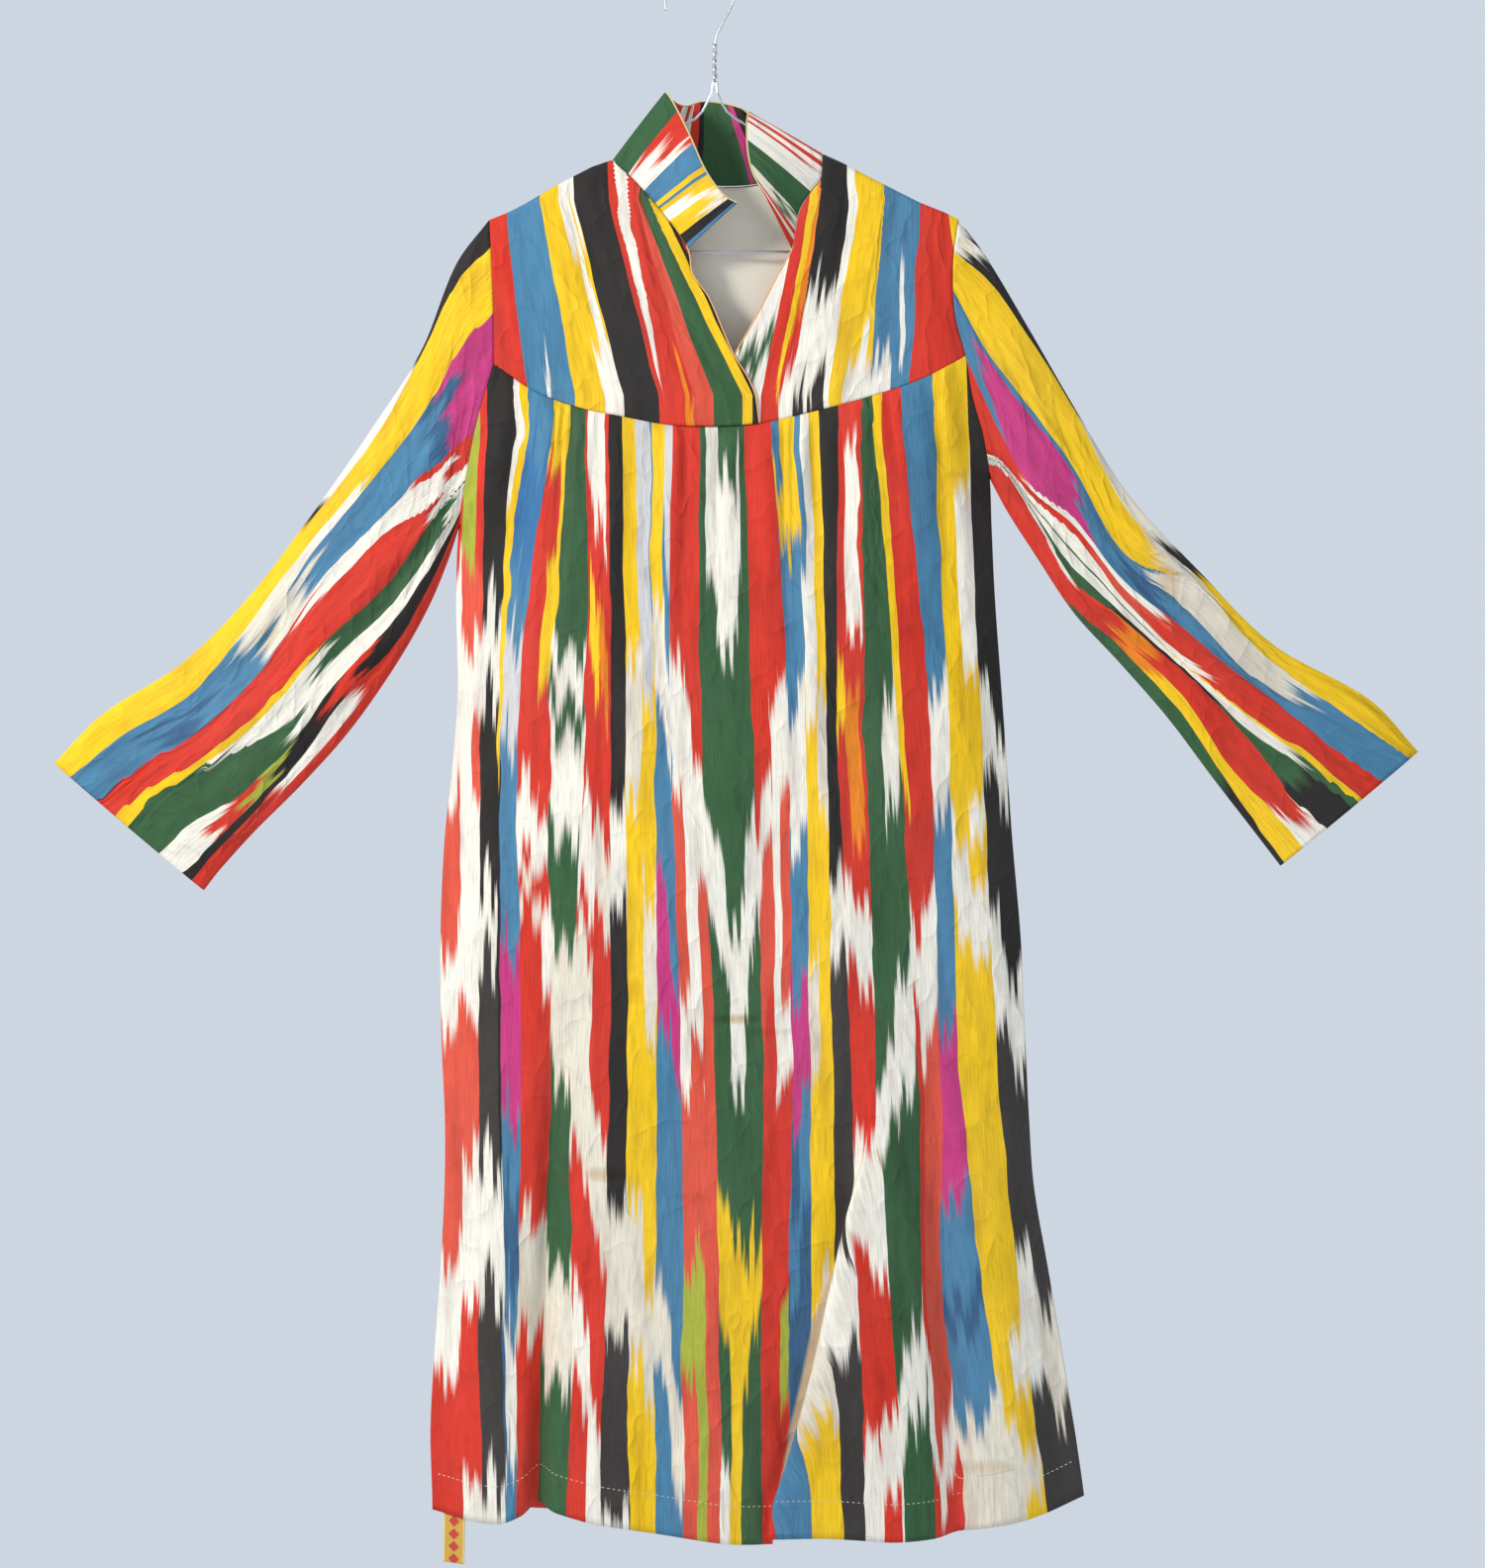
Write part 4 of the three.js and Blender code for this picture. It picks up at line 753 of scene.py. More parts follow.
def skirtPanel(face, material):
    columns = closer(skirt["columns"][face], skirt["crowds"][face])
    t = np.linspace(0, 1, skirt["rows"])
    rows = t * (skirt["topCrowd"] + (1 - skirt["topCrowd"]) * t)
    top, foot = skirtLevels(columns, face)
    z = lerp(top[None, :], foot[None, :], rows[:, None])
    u = np.broadcast_to(columns, z.shape)
    x = columnX(u, z, face)
    if face == "front":
        across, down = clothAcross(x, z, stripeGuides), -z
    else:
        pattern = skirt["backPattern"]
        across, down = pattern["x"] - pattern["scale"] * x, pattern["z"] - z
    grid = skirtSurface(u, z, face, foot[None, :])
    piece = clothPiece(face + "_skirt_cloth", grid, across, down, material, weights["silk"])
    if face == "front":
        # Painted shade beside the lap's edge, kept on the points for the skirt's material.
        shade = piece.data.attributes.new("turned", "FLOAT", "POINT")
        shade.data.foreach_set("value", lapShadeStrip(x, z).ravel())
    return takePlace(piece, "ikat_cloth", face + "_skirt")


# Soft light brown patches on the skirt: mostly painted shade along creases and fold hollows, with a few
# stained spots.
skirtStainsAndShade = [
    (31, 910, 24, 5, 0.75), (-81, 1041, 20, 8, 0.7), (-56, 886, 8, 13, 0.5), (213, 1289, 18, 7, 0.4),
    (99, 930, 8, 12, 0.4), (-143, 1165, 12, 40, 0.35), (-8, 1060, 20, 5, 0.3), (60, 921, 26, 4, 0.35),
]
frontBands = bandsOf(stripeGuides, frontStories, 281)
skirtSilk = ikatMaterial("ikat_skirt", frontBands, skirt["patternLength"], 0.0, skirtStainsAndShade)
frontSkirt, backSkirt = skirtPanel("front", skirtSilk), skirtPanel("back", skirtSilk)
print("skirt panels made")

# Yokes.

yokeGuides = {
    "right": {"z": [-214, -382], "home": 1, "far": 60, "edges": [
        [-168, -147], [-155, -131], [-151, -125.5], [-137.2, -106.7], [-121.8, -81.5], [-116, -75],
        [-113, -70], [-108.8, -65.5], [-79.2, -35.5], [-74.5, -31], [-61.3, -28.6], [-57, -13],
        [-55.5, -6], [-52.1, 10.5], [-45.8, 35.3], [-36, 43.7], [-34, 48.7]]},
    "left": {"z": [-214, -382], "home": 1, "far": 60, "edges": [
        [84.8, 50.9], [92.7, 61.7], [100.5, 65.1], [101, 76.2], [118, 94], [125.2, 103.8], [133, 108],
        [155.4, 119.1], [155.7, 142], [168, 160], [172, 166.4], [175.7, 170.5], [188.7, 176.3],
        [209.7, 232]]},
}
yokeStories = {
    "right": [(0, "red"), (0, "blue"), (0, "blue 356 white 385 blue"), (0, "blue"), (0, "yellow"),
              (0, "white 246 yellow 330 white"), (0, "white"), (0, "white 222 yellow 305 white"), (0, "dark"),
              (0, "red"), (0, "white 356 red"), (0, "red"), (0, "red 366 orange"), (0, "coral"), (0, "green"),
              (0, "yellow"), (0, "dark"), (0, "red")],
    "left": [(0, "white 325 green 352 white"), (0, "red"), (0, "yellow 350 red"),
             (0, "orange 300 red 352 white"), (-1.5, "dark 292 white 383 dark"),
             (0, "dark 286 white 350 dark"), (0, "white"), (0, "yellow"), (0, "yellow 336 white"),
             (0, "blue 342 white"), (0, "blue"), (0, "blue 269 white 356 blue"), (0, "blue"), (0, "red"),
             (0, "yellow")],
}
yoke = {
    "columns": 76, "rows": 76, "lapHeight": 1.95, "lapX": -30.0, "growX": 28.0, "lapZ": -300.0, "growZ": 25.0,
    "creaseFade": 0.1, "patternLength": 420.0, "seeds": {"right": 20.0, "left": 40.0, "back": 60.0},
    "lastBand": {"right": 120, "left": 280}, "bend": 0.7, "backScale": 0.97,
}


def sideEdge(side, seamGap, v):
    z = lerp(body["shoulderTips"][side], body["seamEnds"][side] + seamGap, v)
    return (rightSide if side == "right" else leftSide)(z), z


def patch(top, bottom, start, end, u, v):
    made = []
    for axis in (0, 1):
        t, b, s, e = top[axis], bottom[axis], start[axis], end[axis]
        corners = lerp(lerp(t[0], t[-1], u), lerp(b[0], b[-1], u), v)
        made.append(lerp(t[None, :], b[None, :], v) + lerp(s[:, None], e[:, None], u) - corners)
    return made


def openingEdge(side, v):
    table = rightOpening if side == "right" else leftOpening
    return tuple(curveOf(table, "v", axis, yoke["bend"])(v) for axis in "xz")


def frontYokeGrid(side):
    v = np.linspace(0, 1, yoke["rows"])
    u = np.linspace(0, 1, yoke["columns"])
    half = body["gap"] / 2
    openX, openZ = openingEdge(side, v)
    openZ = openZ + (half - (openZ[-1] - seamZ["front"](openX[-1]))) * v
    outer = sideEdge(side, half, v)
    start, end = (outer, (openX, openZ)) if side == "right" else ((openX, openZ), outer)
    topX, footX = lerp(start[0][0], end[0][0], u), lerp(start[0][-1], end[0][-1], u)
    top, bottom = (topX, shoulderZ(topX)), (footX, seamZ["front"](footX) + half)
    x, z = patch(top, bottom, start, end, u[None, :], v[:, None])
    fade = ease(v / yoke["creaseFade"]) * ease((1 - v) / yoke["creaseFade"])
    off = standOff(x, z, "front") + creased(x, z, creases["yokes"]) * fade[:, None]
    if side == "right":
        lapped = ease((x - yoke["lapX"]) / yoke["growX"]) * ease((yoke["lapZ"] - z) / yoke["growZ"])
        off = off + yoke["lapHeight"] * lapped
    return np.stack([x, -off, z], axis=-1)


yokeGrids = {}
for side in ("right", "left"):
    grid = frontYokeGrid(side)
    yokeGrids[side] = grid
    bands = bandsOf(yokeGuides[side], yokeStories[side], yoke["lastBand"][side])
    silk = ikatMaterial("ikat_yoke_" + side, bands, yoke["patternLength"], yoke["seeds"][side])
    across = clothAcross(grid[..., 0], grid[..., 2], yokeGuides[side])
    piece = clothPiece("front_yoke_" + side + "_cloth", grid, across, -grid[..., 2], silk, weights["silk"])
    takePlace(piece, "ikat_cloth", "front_yoke_" + side)

neckColumns = {"from": 0.28, "to": 0.72, "counts": (30, 50, 30), "rows": 56}


def backTop(u):
    low, high = neckColumns["from"], neckColumns["to"]
    tipRight, tipLeft = rightSide(body["shoulderTips"]["right"]), leftSide(body["shoulderTips"]["left"])
    q = np.clip((u - low) / (high - low), 0, 1)
    toLeft = lerp(backNeckX(1), tipLeft, (u - high) / (1 - high))
    x = np.where(u <= low, lerp(tipRight, backNeckX(0), u / low), toLeft)
    onNeck = (u > low) & (u < high)
    return np.where(onNeck, backNeckX(q), x), np.where(onNeck, backNeckZ(q), shoulderZ(x))


def backYokeGrid():
    places = (0, neckColumns["from"], neckColumns["to"], 1)
    spans = [np.linspace(*span) for span in zip(places, places[1:], neckColumns["counts"])]
    u = np.concatenate([spans[0], spans[1][1:], spans[2][1:]])
    v = np.linspace(0, 1, neckColumns["rows"])
    half = body["gap"] / 2
    footX = lerp(rightSide(body["seamEnds"]["right"]), leftSide(body["seamEnds"]["left"]), u)
    bottom = (footX, seamZ["back"](footX) + half)
    sides = sideEdge("right", half, v), sideEdge("left", half, v)
    x, z = patch(backTop(u), bottom, *sides, u[None, :], v[:, None])
    return np.stack([x, standOff(x, z, "back"), z], axis=-1)


grid = backYokeGrid()
backBands = [
    (-150, 0, "red 300 white 340 red"), (-120, 0, "blue"), (-95, 0, "yellow 260 white 330 yellow"),
    (-62, 0, "dark"), (-20, 0, "red"), (8, 0, "green"), (18, 0, "yellow"), (34, 0, "red 300 white 350 red"),
    (60, 0, "dark 290 white 340 dark"), (84, 0, "yellow"), (112, 0, "blue 280 pink 350 blue"),
    (140, 0, "red"), (158, 0, "white 260 green"), (190, 0, "yellow"), (205, 0, "dark"), (280, 0, "red"),
]
backSilk = ikatMaterial("ikat_back_yoke", backBands, yoke["patternLength"], yoke["seeds"]["back"])
across = grid[..., 0] * yoke["backScale"]
backYoke = clothPiece("back_yoke_cloth", grid, across, -grid[..., 2], backSilk, weights["silk"])
takePlace(backYoke, "ikat_cloth", "back_yoke")

lining = {"inside": 1.85, "ends": 0.04, "side": 14.0, "shoulder": 15.0, "neck": 1.5, "seam": 2.0,
          "columns": 70, "rows": 40}


def liningGrid():
    u, v = np.linspace(0, 1, lining["columns"]), np.linspace(0, 1, lining["rows"])[:, None]
    topX, topZ = backTop(lerp(lining["ends"], 1 - lining["ends"], u))
    margin = lining["side"]
    atNeck = ease((topX - backNeckX(0)) / margin) * ease((backNeckX(1) - topX) / margin)
    low, high = rightSide(body["seamEnds"]["right"]) + margin, leftSide(body["seamEnds"]["left"]) - margin
    x = lerp(topX[None, :], lerp(low, high, u)[None, :], v)
    topZ = topZ - lerp(lining["shoulder"], lining["neck"], atNeck)
    z = lerp(topZ[None, :], seamZ["back"](x) + lining["seam"], v)
    x = np.clip(x, rightSide(z) + margin, leftSide(z) - margin)
    return np.stack([x, standOff(x, z, "back") - lining["inside"], z], axis=-1)


cotton = plainCloth("cotton_lining", (0.93, 0.87, 0.75), 900.0, {"Roughness": 0.85, "Sheen Weight": 0.1})
grid = liningGrid()
across, down = grid[..., 0], -grid[..., 2]
backLining = clothPiece("back_yoke_lining_cloth", grid, across, down, cotton, weights["cotton"])
takePlace(backLining, "lining_cotton", "back_yoke_lining")
print("yokes made")

# Sleeves.

sleeveChart = {
    "right": {"z": [0, 0.2, 0.35, 0.5, 0.65, 0.8, 0.92, 1], "home": 3, "far": 0.2, "edges": [
        [0.09, 0.02, 0.05, 0.02, 0.01, 0.01, 0.01, 0.005], [0.28, 0.21, 0.16, 0.1, 0.11, 0.17, 0.15, 0.11],
        [0.3, 0.23, 0.2, 0.15, 0.2, 0.22, 0.18, 0.13], [0.72, 0.46, 0.38, 0.29, 0.36, 0.37, 0.34, 0.3],
        [0.74, 0.5, 0.4, 0.3, 0.365, 0.375, 0.345, 0.305], [0.8, 0.62, 0.45, 0.37, 0.37, 0.38, 0.35, 0.31],
        [0.84, 0.68, 0.66, 0.56, 0.5, 0.5, 0.45, 0.4], [0.85, 0.69, 0.67, 0.57, 0.56, 0.56, 0.53, 0.52],
        [0.93, 0.8, 0.76, 0.66, 0.68, 0.57, 0.54, 0.53], [0.95, 0.86, 0.83, 0.76, 0.8, 0.8, 0.72, 0.71],
        [0.965, 0.93, 0.93, 0.84, 0.88, 0.88, 0.88, 0.86], [0.975, 0.945, 0.94, 0.86, 0.9, 0.93, 0.93, 0.93],
        [0.99, 0.99, 0.96, 0.95, 0.95, 0.96, 0.97, 0.96]]},
    "left": {"z": [0, 0.08, 0.2, 0.35, 0.5, 0.65, 0.8, 0.92, 1], "home": 4, "far": 0.2, "edges": [
        [0.13, 0.08, 0.03, 0.02, 0.1, 0.05, 0.01, 0.01, 0.005],
        [0.28, 0.36, 0.33, 0.3, 0.36, 0.1, 0.1, 0.15, 0.06],
        [0.3, 0.38, 0.35, 0.32, 0.4, 0.3, 0.28, 0.22, 0.1],
        [0.55, 0.66, 0.7, 0.55, 0.52, 0.42, 0.32, 0.36, 0.28],
        [0.9, 0.8, 0.72, 0.58, 0.56, 0.48, 0.33, 0.37, 0.29],
        [0.91, 0.81, 0.74, 0.61, 0.62, 0.58, 0.34, 0.38, 0.3],
        [0.92, 0.82, 0.78, 0.7, 0.66, 0.62, 0.5, 0.46, 0.42],
        [0.925, 0.825, 0.785, 0.71, 0.67, 0.63, 0.51, 0.52, 0.46],
        [0.93, 0.83, 0.82, 0.78, 0.72, 0.64, 0.58, 0.54, 0.47],
        [0.935, 0.835, 0.83, 0.86, 0.75, 0.66, 0.61, 0.72, 0.68],
        [0.94, 0.84, 0.84, 0.89, 0.86, 0.8, 0.85, 0.85, 0.83],
        [0.97, 0.9, 0.9, 0.97, 0.92, 0.9, 0.93, 0.97, 0.97]]},
}
sleeveStories = {
    "right": [(0, "dark 125 white 262 dark 290 yellow"), (0, "yellow"),
              (0, "yellow 212 white 285 cream 390 blue"),
              (0, "pink 70 navy 105 blue 307 cream 372 blue 465 navy 505 blue"),
              (0, "red 150 white 350 blue"), (0, "red 60 white 320 red"), (0, "white 95 red"),
              (0, "green 290 yellow"), (0, "white 45 green 312 white 470 green"), (0, "white 372 green"),
              (0, "dark 250 red 310 dark 400 lime 452 red 505 white"), (0, "red 270 dark"),
              (0, "red 262 white 405 red"), (0, "red")],
    "left": [(0, "white 30 dark 225 cream 345 dark 400 yellow"), (0, "yellow 335 cream 400 yellow"),
             (0, "blue 330 cream 505 blue"), (0, "blue 45 pink 222 blue 300 navy 350 blue"),
             (0, "red 88 white 330 red"), (0, "red 240 coral 330 red"), (0, "white 395 red"),
             (0, "green 330 yellow"), (0, "white 505 green"), (0, "green 280 dark 440 green 545 dark"),
             (0, "white 190 red 285 orange 335 red 560 white"), (0, "red 285 orange 345 yellow"),
             (0, "red 212 green 500 dark")],
}
sleeve = {
    "stations": 150, "ring": 56, "start": 0.14, "lens": 0.55, "least": 2.4, "backShare": 0.6,
    "length": 590.0, "width": 200.0, "lastBand": 240, "patternLength": 620.0,
    "seeds": {"right": 90.0, "left": 75.0},
    "seamFade": 4,       # how soon the armhole's own line gives way to the sleeve's
    "rounding": 9.0,     # how soon the cloth stands off from the folded edges
}
# Finer creases of both sleeves, as the long wrinkles are given.
sleeveCreases = [
    (0.02, 0.4, 0.5, 0.34, 0.035, 1.6), (0.1, 0.5, 0.78, 0.86, 0.03, -1.8), (0.25, 0.8, 0.9, 0.82, 0.03, 1.6),
    (0.4, 0.95, 0.2, 0.12, 0.04, 1.4), (0.55, 1, 0.62, 0.6, 0.035, -1.5), (0.02, 0.3, 0.96, 0.6, 0.03, 2.2),
    (0.05, 0.36, 0.2, 0.46, 0.03, -1.4), (0.66, 1, 0.42, 0.5, 0.03, 1.4),
]


def sleeveGrid(side):
    table = sleeveSections[side]
    outward, sideX = (-1, rightSide) if side == "right" else (1, leftSide)
    first = body["shoulderTips"][side]
    foot = lerp(body["seamEnds"][side], body["hemEnds"][side], body["armholeShare"][side])
    turn = np.linspace(0, 2 * np.pi, 2 * sleeve["ring"], endpoint=False)
    w = (1 - np.cos(turn)) / 2
    front = np.where(turn <= np.pi, 1.0, 0.0)
    s = np.linspace(0, 1, sleeve["stations"])[:, None]
    z = lerp(first, foot, w)
    read = {name: curveOf(table, "s", name) for name in ("topX", "topZ", "lowX", "lowZ", "depth")}
    keep = (1 - s) ** sleeve["seamFade"]
    x = lerp(read["topX"](s), read["lowX"](s), w)
    x = x + (sideX(z) + outward * body["gap"] - lerp(read["topX"](0), read["lowX"](0), w)) * keep
    down = lerp(read["topZ"](s), read["lowZ"](s), w)
    down = down + (z - lerp(read["topZ"](0), read["lowZ"](0), w)) * keep
    bulge = 4 * w * (1 - w)
    lens = read["depth"](s) * bulge ** sleeve["lens"]
    start = np.where(front > 0, standOff(sideX(z), z, "front"), standOff(sideX(z), z, "back"))
    start = start * np.minimum(1, sleeve["rounding"] * bulge)
    off = lerp(start, lens, ease(s / sleeve["start"]))
    for low, high, wFrom, wTo, width, forward in sleeveFolds + sleeveCreases:
        t = (s - low) / (high - low)
        held = np.clip(t, 0, 1)
        away = (w - lerp(wFrom, wTo, held)) / width
        shape = np.sin(np.pi * held) * np.exp(-away * away) * np.minimum(1, 2 * bulge)
        off = off + np.where(front > 0, 1.0, -sleeve["backShare"]) * forward * shape
    least = sleeve["least"] * np.minimum(1, 3 * s / sleeve["start"]) * np.minimum(1, 3 * bulge)
    off = np.maximum(off, least)
    y = np.where(front > 0, -1.0, 1.0) * np.where(bulge < 1e-9, 0, off)
    y, w, s = (np.broadcast_to(part, x.shape) for part in (y, w, s))
    return np.stack([x, y, down], axis=-1), w, s


# Soft light brown patches on the sleeves: painted shadow in their wrinkles, and stained spots.
sleeveStainsAndShade = {"right": [(40, 375, 12, 24, 0.5)], "left": [(70, 352, 18, 17, 0.6), (8, 14, 9, 16, 0.45)]}
for side in ("right", "left"):
    grid, w, s = sleeveGrid(side)
    across = clothAcross(w, s, sleeveChart[side]) * sleeve["width"]
    bands = bandsOf(sleeveChart[side], sleeveStories[side], sleeve["lastBand"], sleeve["width"])
    seed = sleeve["seeds"][side]
    silk = ikatMaterial("ikat_sleeve_" + side, bands, sleeve["patternLength"], seed, sleeveStainsAndShade[side])
    down = s * sleeve["length"]
    piece = clothPiece("sleeve_" + side + "_cloth", grid, across, down, silk, weights["silk"], closed=True)
    takePlace(piece, "ikat_cloth", "sleeve_" + side)
    "front_yoke_" + side + "_cloth"
print("sleeves made")

# Collar.

collar = {"columns": 170, "rows": 26, "right": 0.3, "left": 0.75, "neckFoot": 0.3, "round": 440.0,
          "band": 60.0, "seed": 110.0}
collarBands = [
    (5, 0, "blue"), (17, 0, "dark"), (22, 0, "yellow 25 white"), (36, 0, "yellow 20 white 44 yellow"),
    (48, 0, "white 25 yellow"), (53, 0, "yellow"), (56, 0, "blue"), (61, 0, "yellow"), (80, 0, "blue"),
    (87, 0, "white 46 red"), (106, 0, "white 14 red"), (134, 0, "green"), (150, 0, "white"), (165, 0, "red"),
    (182, 0, "white 30 red"), (192, 0, "red 20 white"), (196, 0, "red"), (203, 0, "white 34 red"),
    (213, 0, "red"), (219, 0, "dark"), (257, 0, "green"), (267, 0, "green 16 pink"),
    (300, 0, "green 20 dark"), (318, 0, "green"), (334, 0, "red"), (340, 0, "white"), (346, 0, "red"),
    (353, 0, "white"), (357, 0, "white 20 red"), (378, 0, "white"), (404, 0, "green"),
    (422, 0, "cream 24 green 34 cream"), (427, 0, "red"), (432, 0, "cream"), (470, 0, "red"),
]


def neckEdge(q):
    low, high = collar["right"], collar["left"]
    u = np.clip((q - low) / (high - low), 0, 1)
    rightV = collar["neckFoot"] * (1 - np.clip(q / low, 0, 1))
    leftV = collar["neckFoot"] * np.clip((q - high) / (1 - high), 0, 1)
    rightX, rightZ = openingEdge("right", rightV)
    leftX, leftZ = openingEdge("left", leftV)
    x = np.where(q <= low, rightX, np.where(q < high, backNeckX(u), leftX))
    z = np.where(q <= low, rightZ, np.where(q < high, backNeckZ(u), leftZ))
    y = np.where((q > low) & (q < high), standOff(x, z, "back"), -standOff(x, z, "front"))
    y = np.where((q == low) | (q == high), 0, y)
    return np.stack([x, y, z], axis=-1)


def collarGrid():
    q = np.linspace(0, 1, collar["columns"])
    neck = neckEdge(q)
    free = np.stack([curveOf(collarEdge, "q", axis)(q) for axis in "xyz"], axis=-1)
    lean = free - neck
    neck = neck + lean / np.linalg.norm(lean, axis=1, keepdims=True) * body["collarLift"]
    p = np.linspace(0, 1, collar["rows"])[:, None]
    grid = lerp(neck[None, :, :], free[None, :, :], p[:, :, None])
    grid[..., 1] -= 4 * curveOf(collarEdge, "q", "bow")(q)[None, :] * p * (1 - p)
    return grid, np.broadcast_to(q, grid.shape[:2]), np.broadcast_to(p, grid.shape[:2])


grid, q, p = collarGrid()
collarSilk = ikatMaterial("ikat_collar", collarBands, collar["band"], collar["seed"])
across, down = q * collar["round"], p * collar["band"]
collarPiece = clothPiece("collar_cloth", grid, across, down, collarSilk, weights["silk"])
collarRim = grid[-1]
takePlace(collarPiece, "ikat_cloth", "collar")
print("collar made")

# Round sections along a path: wires, piping and thread.


def smoothPath(points, steps):
    p = np.array(points, float)
    p = np.vstack([2 * p[0] - p[1], p, 2 * p[-1] - p[-2]])
    made = []
    for a, b, c, d in zip(p, p[1:], p[2:], p[3:]):
        before, span, after = (max(1e-6, np.linalg.norm(e - s)) ** 0.5 for s, e in ((a, b), (b, c), (c, d)))
        leave = ((b - a) / before - (c - a) / (before + span) + (c - b) / span) * span
        arrive = ((c - b) / span - (d - b) / (span + after) + (d - c) / after) * span
        for t in np.arange(steps) / steps:
            toEnd = 3 * t ** 2 - 2 * t ** 3
            bent = (t ** 3 - 2 * t ** 2 + t) * leave + (t ** 3 - t ** 2) * arrive
            made.append((1 - toEnd) * b + toEnd * c + bent)
    return np.array(made + [p[-2]])


def tube(name, path, radius, sides, material):
    path = np.array(path, float)
    ahead = np.gradient(path, axis=0)
    ahead /= np.linalg.norm(ahead, axis=1, keepdims=True)
    across = np.cross(ahead[0], (0.3, 1.0, 0.2))
    rings = []
    for point, way in zip(path, ahead):
        across = across - way * across.dot(way)
        across = across / np.linalg.norm(across)
        other = np.cross(way, across)
        turn = np.arange(sides) * 2 * np.pi / sides
        rings.append(point + radius * (np.cos(turn)[:, None] * across + np.sin(turn)[:, None] * other))
    points = np.vstack(rings + [path[:1], path[-1:]])
    last, centre = (len(path) - 1) * sides, len(path) * sides
    edges = [(i, (i + 1) % sides) for i in range(sides)]
    faces = [[j + i, j + k, j + sides + k, j + sides + i] for j in range(0, last, sides) for i, k in edges]
    for i, k in edges:
        faces += [[centre, k, i], [centre + 1, last + i, last + k]]
    return meshPiece(name, points, faces, material)


# Hanger.

wire = {
    "radius": 1.15, "hookRadius": 31.0, "neckX": 11.8, "neckTop": -80.0, "neckFoot": -111.7, "pitch": 13.0,
    "arc": (180, -32, 9),                # the hook's round: its angles, and how many points it has
    "tip": [(0.8, 21.0), (0.2, 10.5)],   # inwards from the hook's side and below its centre
    "stem": [(19.5, -60), (13.6, -72)], "sides": {"hook": 16, "neck": 12}, "turnPoints": 60,
    "worn": {"Scale": 220.0, "Detail": 3.0}, "dull": (0.42, 0.43, 0.45, 1), "bright": (0.72, 0.73, 0.75, 1),
    "roughness": (0.2, 0.3),
}


def steel():
    material, make, shader = startMaterial("hanger_steel", {"Metallic": 1.0})
    place = make.node("ShaderNodeTexCoord", out=3)
    worn = make.node("ShaderNodeTexNoise", {}, {"Vector": place, **wire["worn"]})
    plug(make.mix(worn, wire["dull"], wire["bright"]), shader, "Base Color")
    plug(worn * wire["roughness"][1] + wire["roughness"][0], shader, "Roughness")
    return material


wireSteel = steel()
hookRadius, centre = wire["hookRadius"], wire["radius"] - wire["hookRadius"]
angles = np.radians(np.linspace(*wire["arc"]))
crown = [(hookRadius * math.cos(a), 0, centre + hookRadius * math.sin(a)) for a in angles]
tip = [(inwards - hookRadius, 0, centre - below) for inwards, below in wire["tip"]]
stem = [(x, 0, z) for x, z in wire["stem"]] + [(wire["neckX"], 0, wire["neckTop"])]
hookPath = smoothPath(tip + crown + stem, 8)
hookWire = tube("hanger_hook_wire", hookPath, wire["radius"], wire["sides"]["hook"], wireSteel)
takePlace(hookWire, "hanger_wire", "hanger_hook")
for name, start in (("hanger_neck_wire_a", 0.0), ("hanger_neck_wire_b", math.pi)):
    z = np.linspace(wire["neckTop"] + 2, wire["neckFoot"], wire["turnPoints"])
    turn = start + (wire["neckTop"] - z) * 2 * math.pi / wire["pitch"]
    x = wire["neckX"] + wire["radius"] * np.cos(turn)
    path = np.stack([x, wire["radius"] * np.sin(turn), z], axis=-1)
    takePlace(tube(name, path, wire["radius"], wire["sides"]["neck"], wireSteel), "hanger_wire")
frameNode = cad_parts["hanger_frame"]
frameNode.data.materials.clear()
frameNode.data.materials.append(wireSteel)
print("hanger made")

# Piping, hem stitches, mending thread and the loose tape.

trim = {"rim": 0.8, "edge": 0.8, "thread": 0.26, "stitch": 4.6, "stitchLength": 2.2, "edgeFrom": 0.3}
rimSilk = plainCloth("piping_yellow", (0.70, 0.56, 0.26), 500.0, {"Roughness": 0.5})
edgeSilk = plainCloth("piping_orange", (0.80, 0.42, 0.20), 500.0, {"Roughness": 0.5})
threadCotton = plainCloth("cream_thread", (0.80, 0.74, 0.60), 900.0, {"Roughness": 0.8})
takePlace(tube("collar_piping", collarRim, trim["rim"], 10, rimSilk), "ikat_cloth")
for side, column in (("right", -1), ("left", 0)):
    edge = yokeGrids[side][int(trim["edgeFrom"] * yoke["rows"]):, column]
    takePlace(tube("opening_piping_" + side, edge, trim["edge"], 8, edgeSilk), "ikat_cloth")


def hemLine(face):
    u = np.linspace(hemSeam["ends"], 1 - hemSeam["ends"], hemSeam["points"])
    foot = meet(u, face, hemZ[face], body["hemLevel"]["front"])
    line = skirtSurface(u, foot + hemSeam["rise"], face, foot)
    line[:, 1] += -hemSeam["lift"] if face == "front" else hemSeam["lift"]
    return line


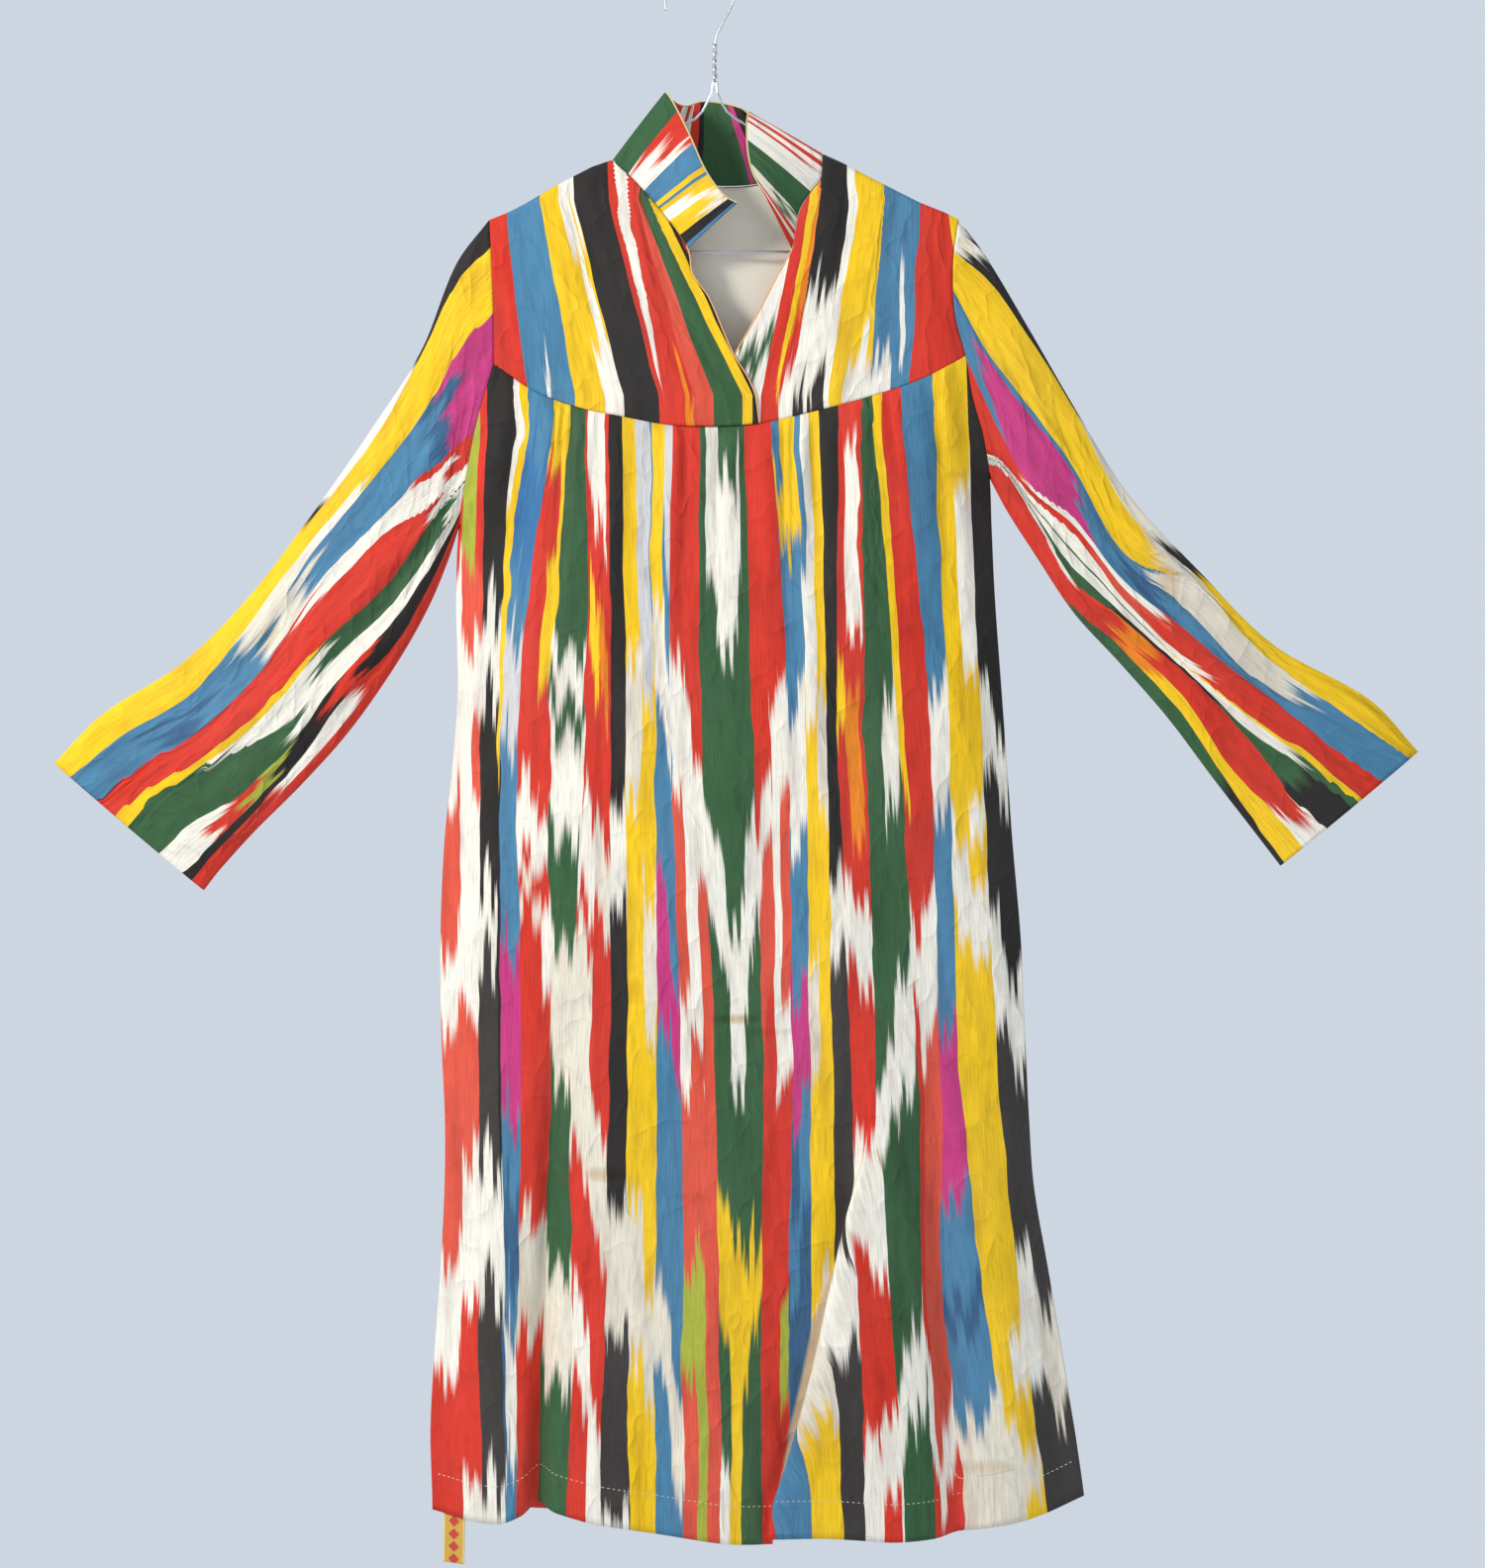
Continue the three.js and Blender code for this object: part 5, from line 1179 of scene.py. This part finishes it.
def stitchTree(material):
    tree = bpy.data.node_groups.new("hem_stitches", "GeometryNodeTree")
    tree.interface.new_socket("Geometry", in_out="INPUT", socket_type="NodeSocketGeometry")
    for name in ("Spacing", "Length", "Radius"):
        tree.interface.new_socket(name, in_out="INPUT", socket_type="NodeSocketFloat")
    tree.interface.new_socket("Geometry", in_out="OUTPUT", socket_type="NodeSocketGeometry")
    start, end = tree.nodes.new("NodeGroupInput"), tree.nodes.new("NodeGroupOutput")

    def chain(kind, inputs, **settings):
        made = tree.nodes.new(kind)
        for key, value in settings.items():
            setattr(made, key, value)
        for key, socket in inputs.items():
            tree.links.new(socket, made.inputs[key])
        return made

    curve = chain("GeometryNodeMeshToCurve", {"Mesh": start.outputs["Geometry"]})
    spacing = {"Curve": curve.outputs[0], "Length": start.outputs["Spacing"]}
    spaced = chain("GeometryNodeResampleCurve", spacing, mode="LENGTH")
    way = chain("GeometryNodeInputTangent", {})
    turn = chain("FunctionNodeAlignRotationToVector", {"Vector": way.outputs[0]}, axis="Z")
    size = {"Radius": start.outputs["Radius"], "Depth": start.outputs["Length"]}
    stitch = chain("GeometryNodeMeshCylinder", size)
    stitch.inputs["Vertices"].default_value = 6
    placed = chain("GeometryNodeInstanceOnPoints", {
        "Points": spaced.outputs[0], "Instance": stitch.outputs[0], "Rotation": turn.outputs[0]})
    real = chain("GeometryNodeRealizeInstances", {"Geometry": placed.outputs[0]})
    dyedOne = chain("GeometryNodeSetMaterial", {"Geometry": real.outputs[0]})
    dyedOne.inputs["Material"].default_value = material
    tree.links.new(dyedOne.outputs[0], end.inputs[0])
    return tree


def stitched(name, line, tree, sizes):
    mesh = bpy.data.meshes.new(name + "_line")
    mesh.from_pydata((line / 1000).tolist(), [(i, i + 1) for i in range(len(line) - 1)], [])
    source = added(name + "_line", mesh)
    sewing = source.modifiers.new("stitches", "NODES")
    sewing.node_group = tree
    for item in tree.interface.items_tree:
        if item.in_out == "INPUT" and item.name in sizes:
            sewing[item.identifier] = sizes[item.name] / 1000
    bpy.context.view_layer.update()
    made = bpy.data.meshes.new_from_object(source.evaluated_get(bpy.context.evaluated_depsgraph_get()))
    bpy.data.objects.remove(source)
    made.name = name
    return added(name, made)


sewingTree = stitchTree(threadCotton)
for face in ("front", "back"):
    sizes = {"Spacing": trim["stitch"], "Length": trim["stitchLength"], "Radius": trim["thread"]}
    takePlace(stitched("hem_stitches_" + face, hemLine(face), sewingTree, sizes), "ikat_cloth")

# A mended place near the hem: a loose stitch of the same thread.
mend = {
    "lift": 1.0,
    "path": [(210.8, -1286), (214.5, -1294), (219.2, -1299.5), (240, -1295), (263.8, -1289.4)],
}


def onFront(x, z, lift):
    column = knots["lap"] + (1 - knots["lap"]) * (x - lapX(z)) / (leftSide(z) - lapX(z))
    return (x, -skirtOff(np.array([float(x)]), np.array([float(z)]), column, "front")[0] - lift, z)


mendPath = smoothPath([onFront(x, z, mend["lift"]) for x, z in mend["path"]], 6)
takePlace(tube("mending_thread", mendPath, trim["thread"], 6, threadCotton), "ikat_cloth")

# The loose end of the hem tape.

tape = {
    "xFrom": -219.0, "xTo": -200.0, "zTop": -1312.0, "zFoot": -1376.0, "lean": 1.5, "curl": 4.0,
    "inside": 2.15, "rows": 40, "columns": 14, "repeat": 11.0, "diamond": 5.0, "border": 8.2,
    "weft": {"rate": 7.0, "height": 0.5}, "bump": {"Strength": 0.4, "Distance": 0.0003},
    "ground": (0.62, 0.36, 0.05, 1), "red": (0.55, 0.05, 0.03, 1), "pale": (0.75, 0.62, 0.3, 1),
}
tapeSize = (tape["xTo"] - tape["xFrom"], tape["zTop"] - tape["zFoot"])


def tapeGrid():
    v, u = np.linspace(0, 1, tape["rows"])[:, None], np.linspace(0, 1, tape["columns"])[None, :]
    z = lerp(tape["zTop"], tape["zFoot"], v) + 0 * u
    x = lerp(tape["xFrom"], tape["xTo"], u) - tape["lean"] * v
    column = (x - rightSide(z)) / (nickX(z) - rightSide(z)) * knots["nick"]
    panelZ = np.maximum(z, hemZ["front"](x))
    y = tape["inside"] - skirtOff(x, panelZ, column, "front") + tape["curl"] * ease(2 * v - 1)
    return np.stack([x, y, z], axis=-1), tapeSize[0] * u + 0 * z, tapeSize[1] * v + 0 * x


def tapeMaterial():
    material, make, shader = startMaterial("woven_tape", {"Roughness": 0.75})
    across, down = clothAxes(make)
    side = (across - tapeSize[0] / 2).maths("ABSOLUTE")
    along = ((down / tape["repeat"]).maths("FRACT") - 0.5).maths("ABSOLUTE") * tape["repeat"]
    colour = make.mix(side + along < tape["diamond"], tape["ground"], tape["red"])
    plug(make.mix(side > tape["border"], colour, tape["pale"]), shader, "Base Color")
    weft = (down * tape["weft"]["rate"]).maths("SINE") * tape["weft"]["height"]
    plug(make.node("ShaderNodeBump", {}, {**tape["bump"], "Height": weft}), shader, "Normal")
    return material


grid, across, down = tapeGrid()
tapePiece = clothPiece("hem_tape_end_cloth", grid, across, down, tapeMaterial(), weights["cotton"])
takePlace(tapePiece, "hem_tape", "hem_tape_end")
print("trim made")

# Floor and light.

room = {
    "floorZ": -1.9, "floorSize": 4.4, "floorColour": (0.72, 0.74, 0.76, 1), "floorRoughness": 0.8,
    "sky": (0.66, 0.73, 0.82, 1), "skyStrength": 0.92, "lampColour": (1.0, 0.965, 0.92),
    # Each lamp: its place, what it points at, its size and its power.
    "lamps": {
        "key": ((-2.1, -1.7, 0.7), (0.05, 0, -0.75), 0.6, 62.0),
        "fill": ((1.9, -2.2, -0.6), (0.05, 0, -0.8), 2.2, 4.0),
        "rear": ((0.8, 2.4, 0.6), (0.05, 0, -0.8), 1.5, 40.0),
    },
}

bpy.ops.mesh.primitive_plane_add(size=room["floorSize"], location=(0, 0, room["floorZ"]))
floor = bpy.context.object
floor.name = "floor"
finish = {"Base Color": room["floorColour"], "Roughness": room["floorRoughness"]}
floor.data.materials.append(startMaterial("pale_floor", finish)[0])
world = bpy.data.worlds.new("pale_room")
world.use_nodes = True
sky = world.node_tree.nodes["Background"]
sky.inputs[0].default_value, sky.inputs[1].default_value = room["sky"], room["skyStrength"]
bpy.context.scene.world = world
bpy.context.scene.view_settings.view_transform = "Standard"
for name, (place, aim, size, power) in room["lamps"].items():
    data = bpy.data.lights.new(name, "AREA")
    data.size, data.energy, data.color = size, power, room["lampColour"]
    lamp = added(name, data)
    lamp.location = place
    way = np.array(aim) - np.array(place)
    flat = math.hypot(way[0], way[1])
    lamp.rotation_euler = (math.atan2(flat, -way[2]), 0, math.atan2(way[1], way[0]) - math.pi / 2)
print("stage made")

bpy.context.view_layer.update()
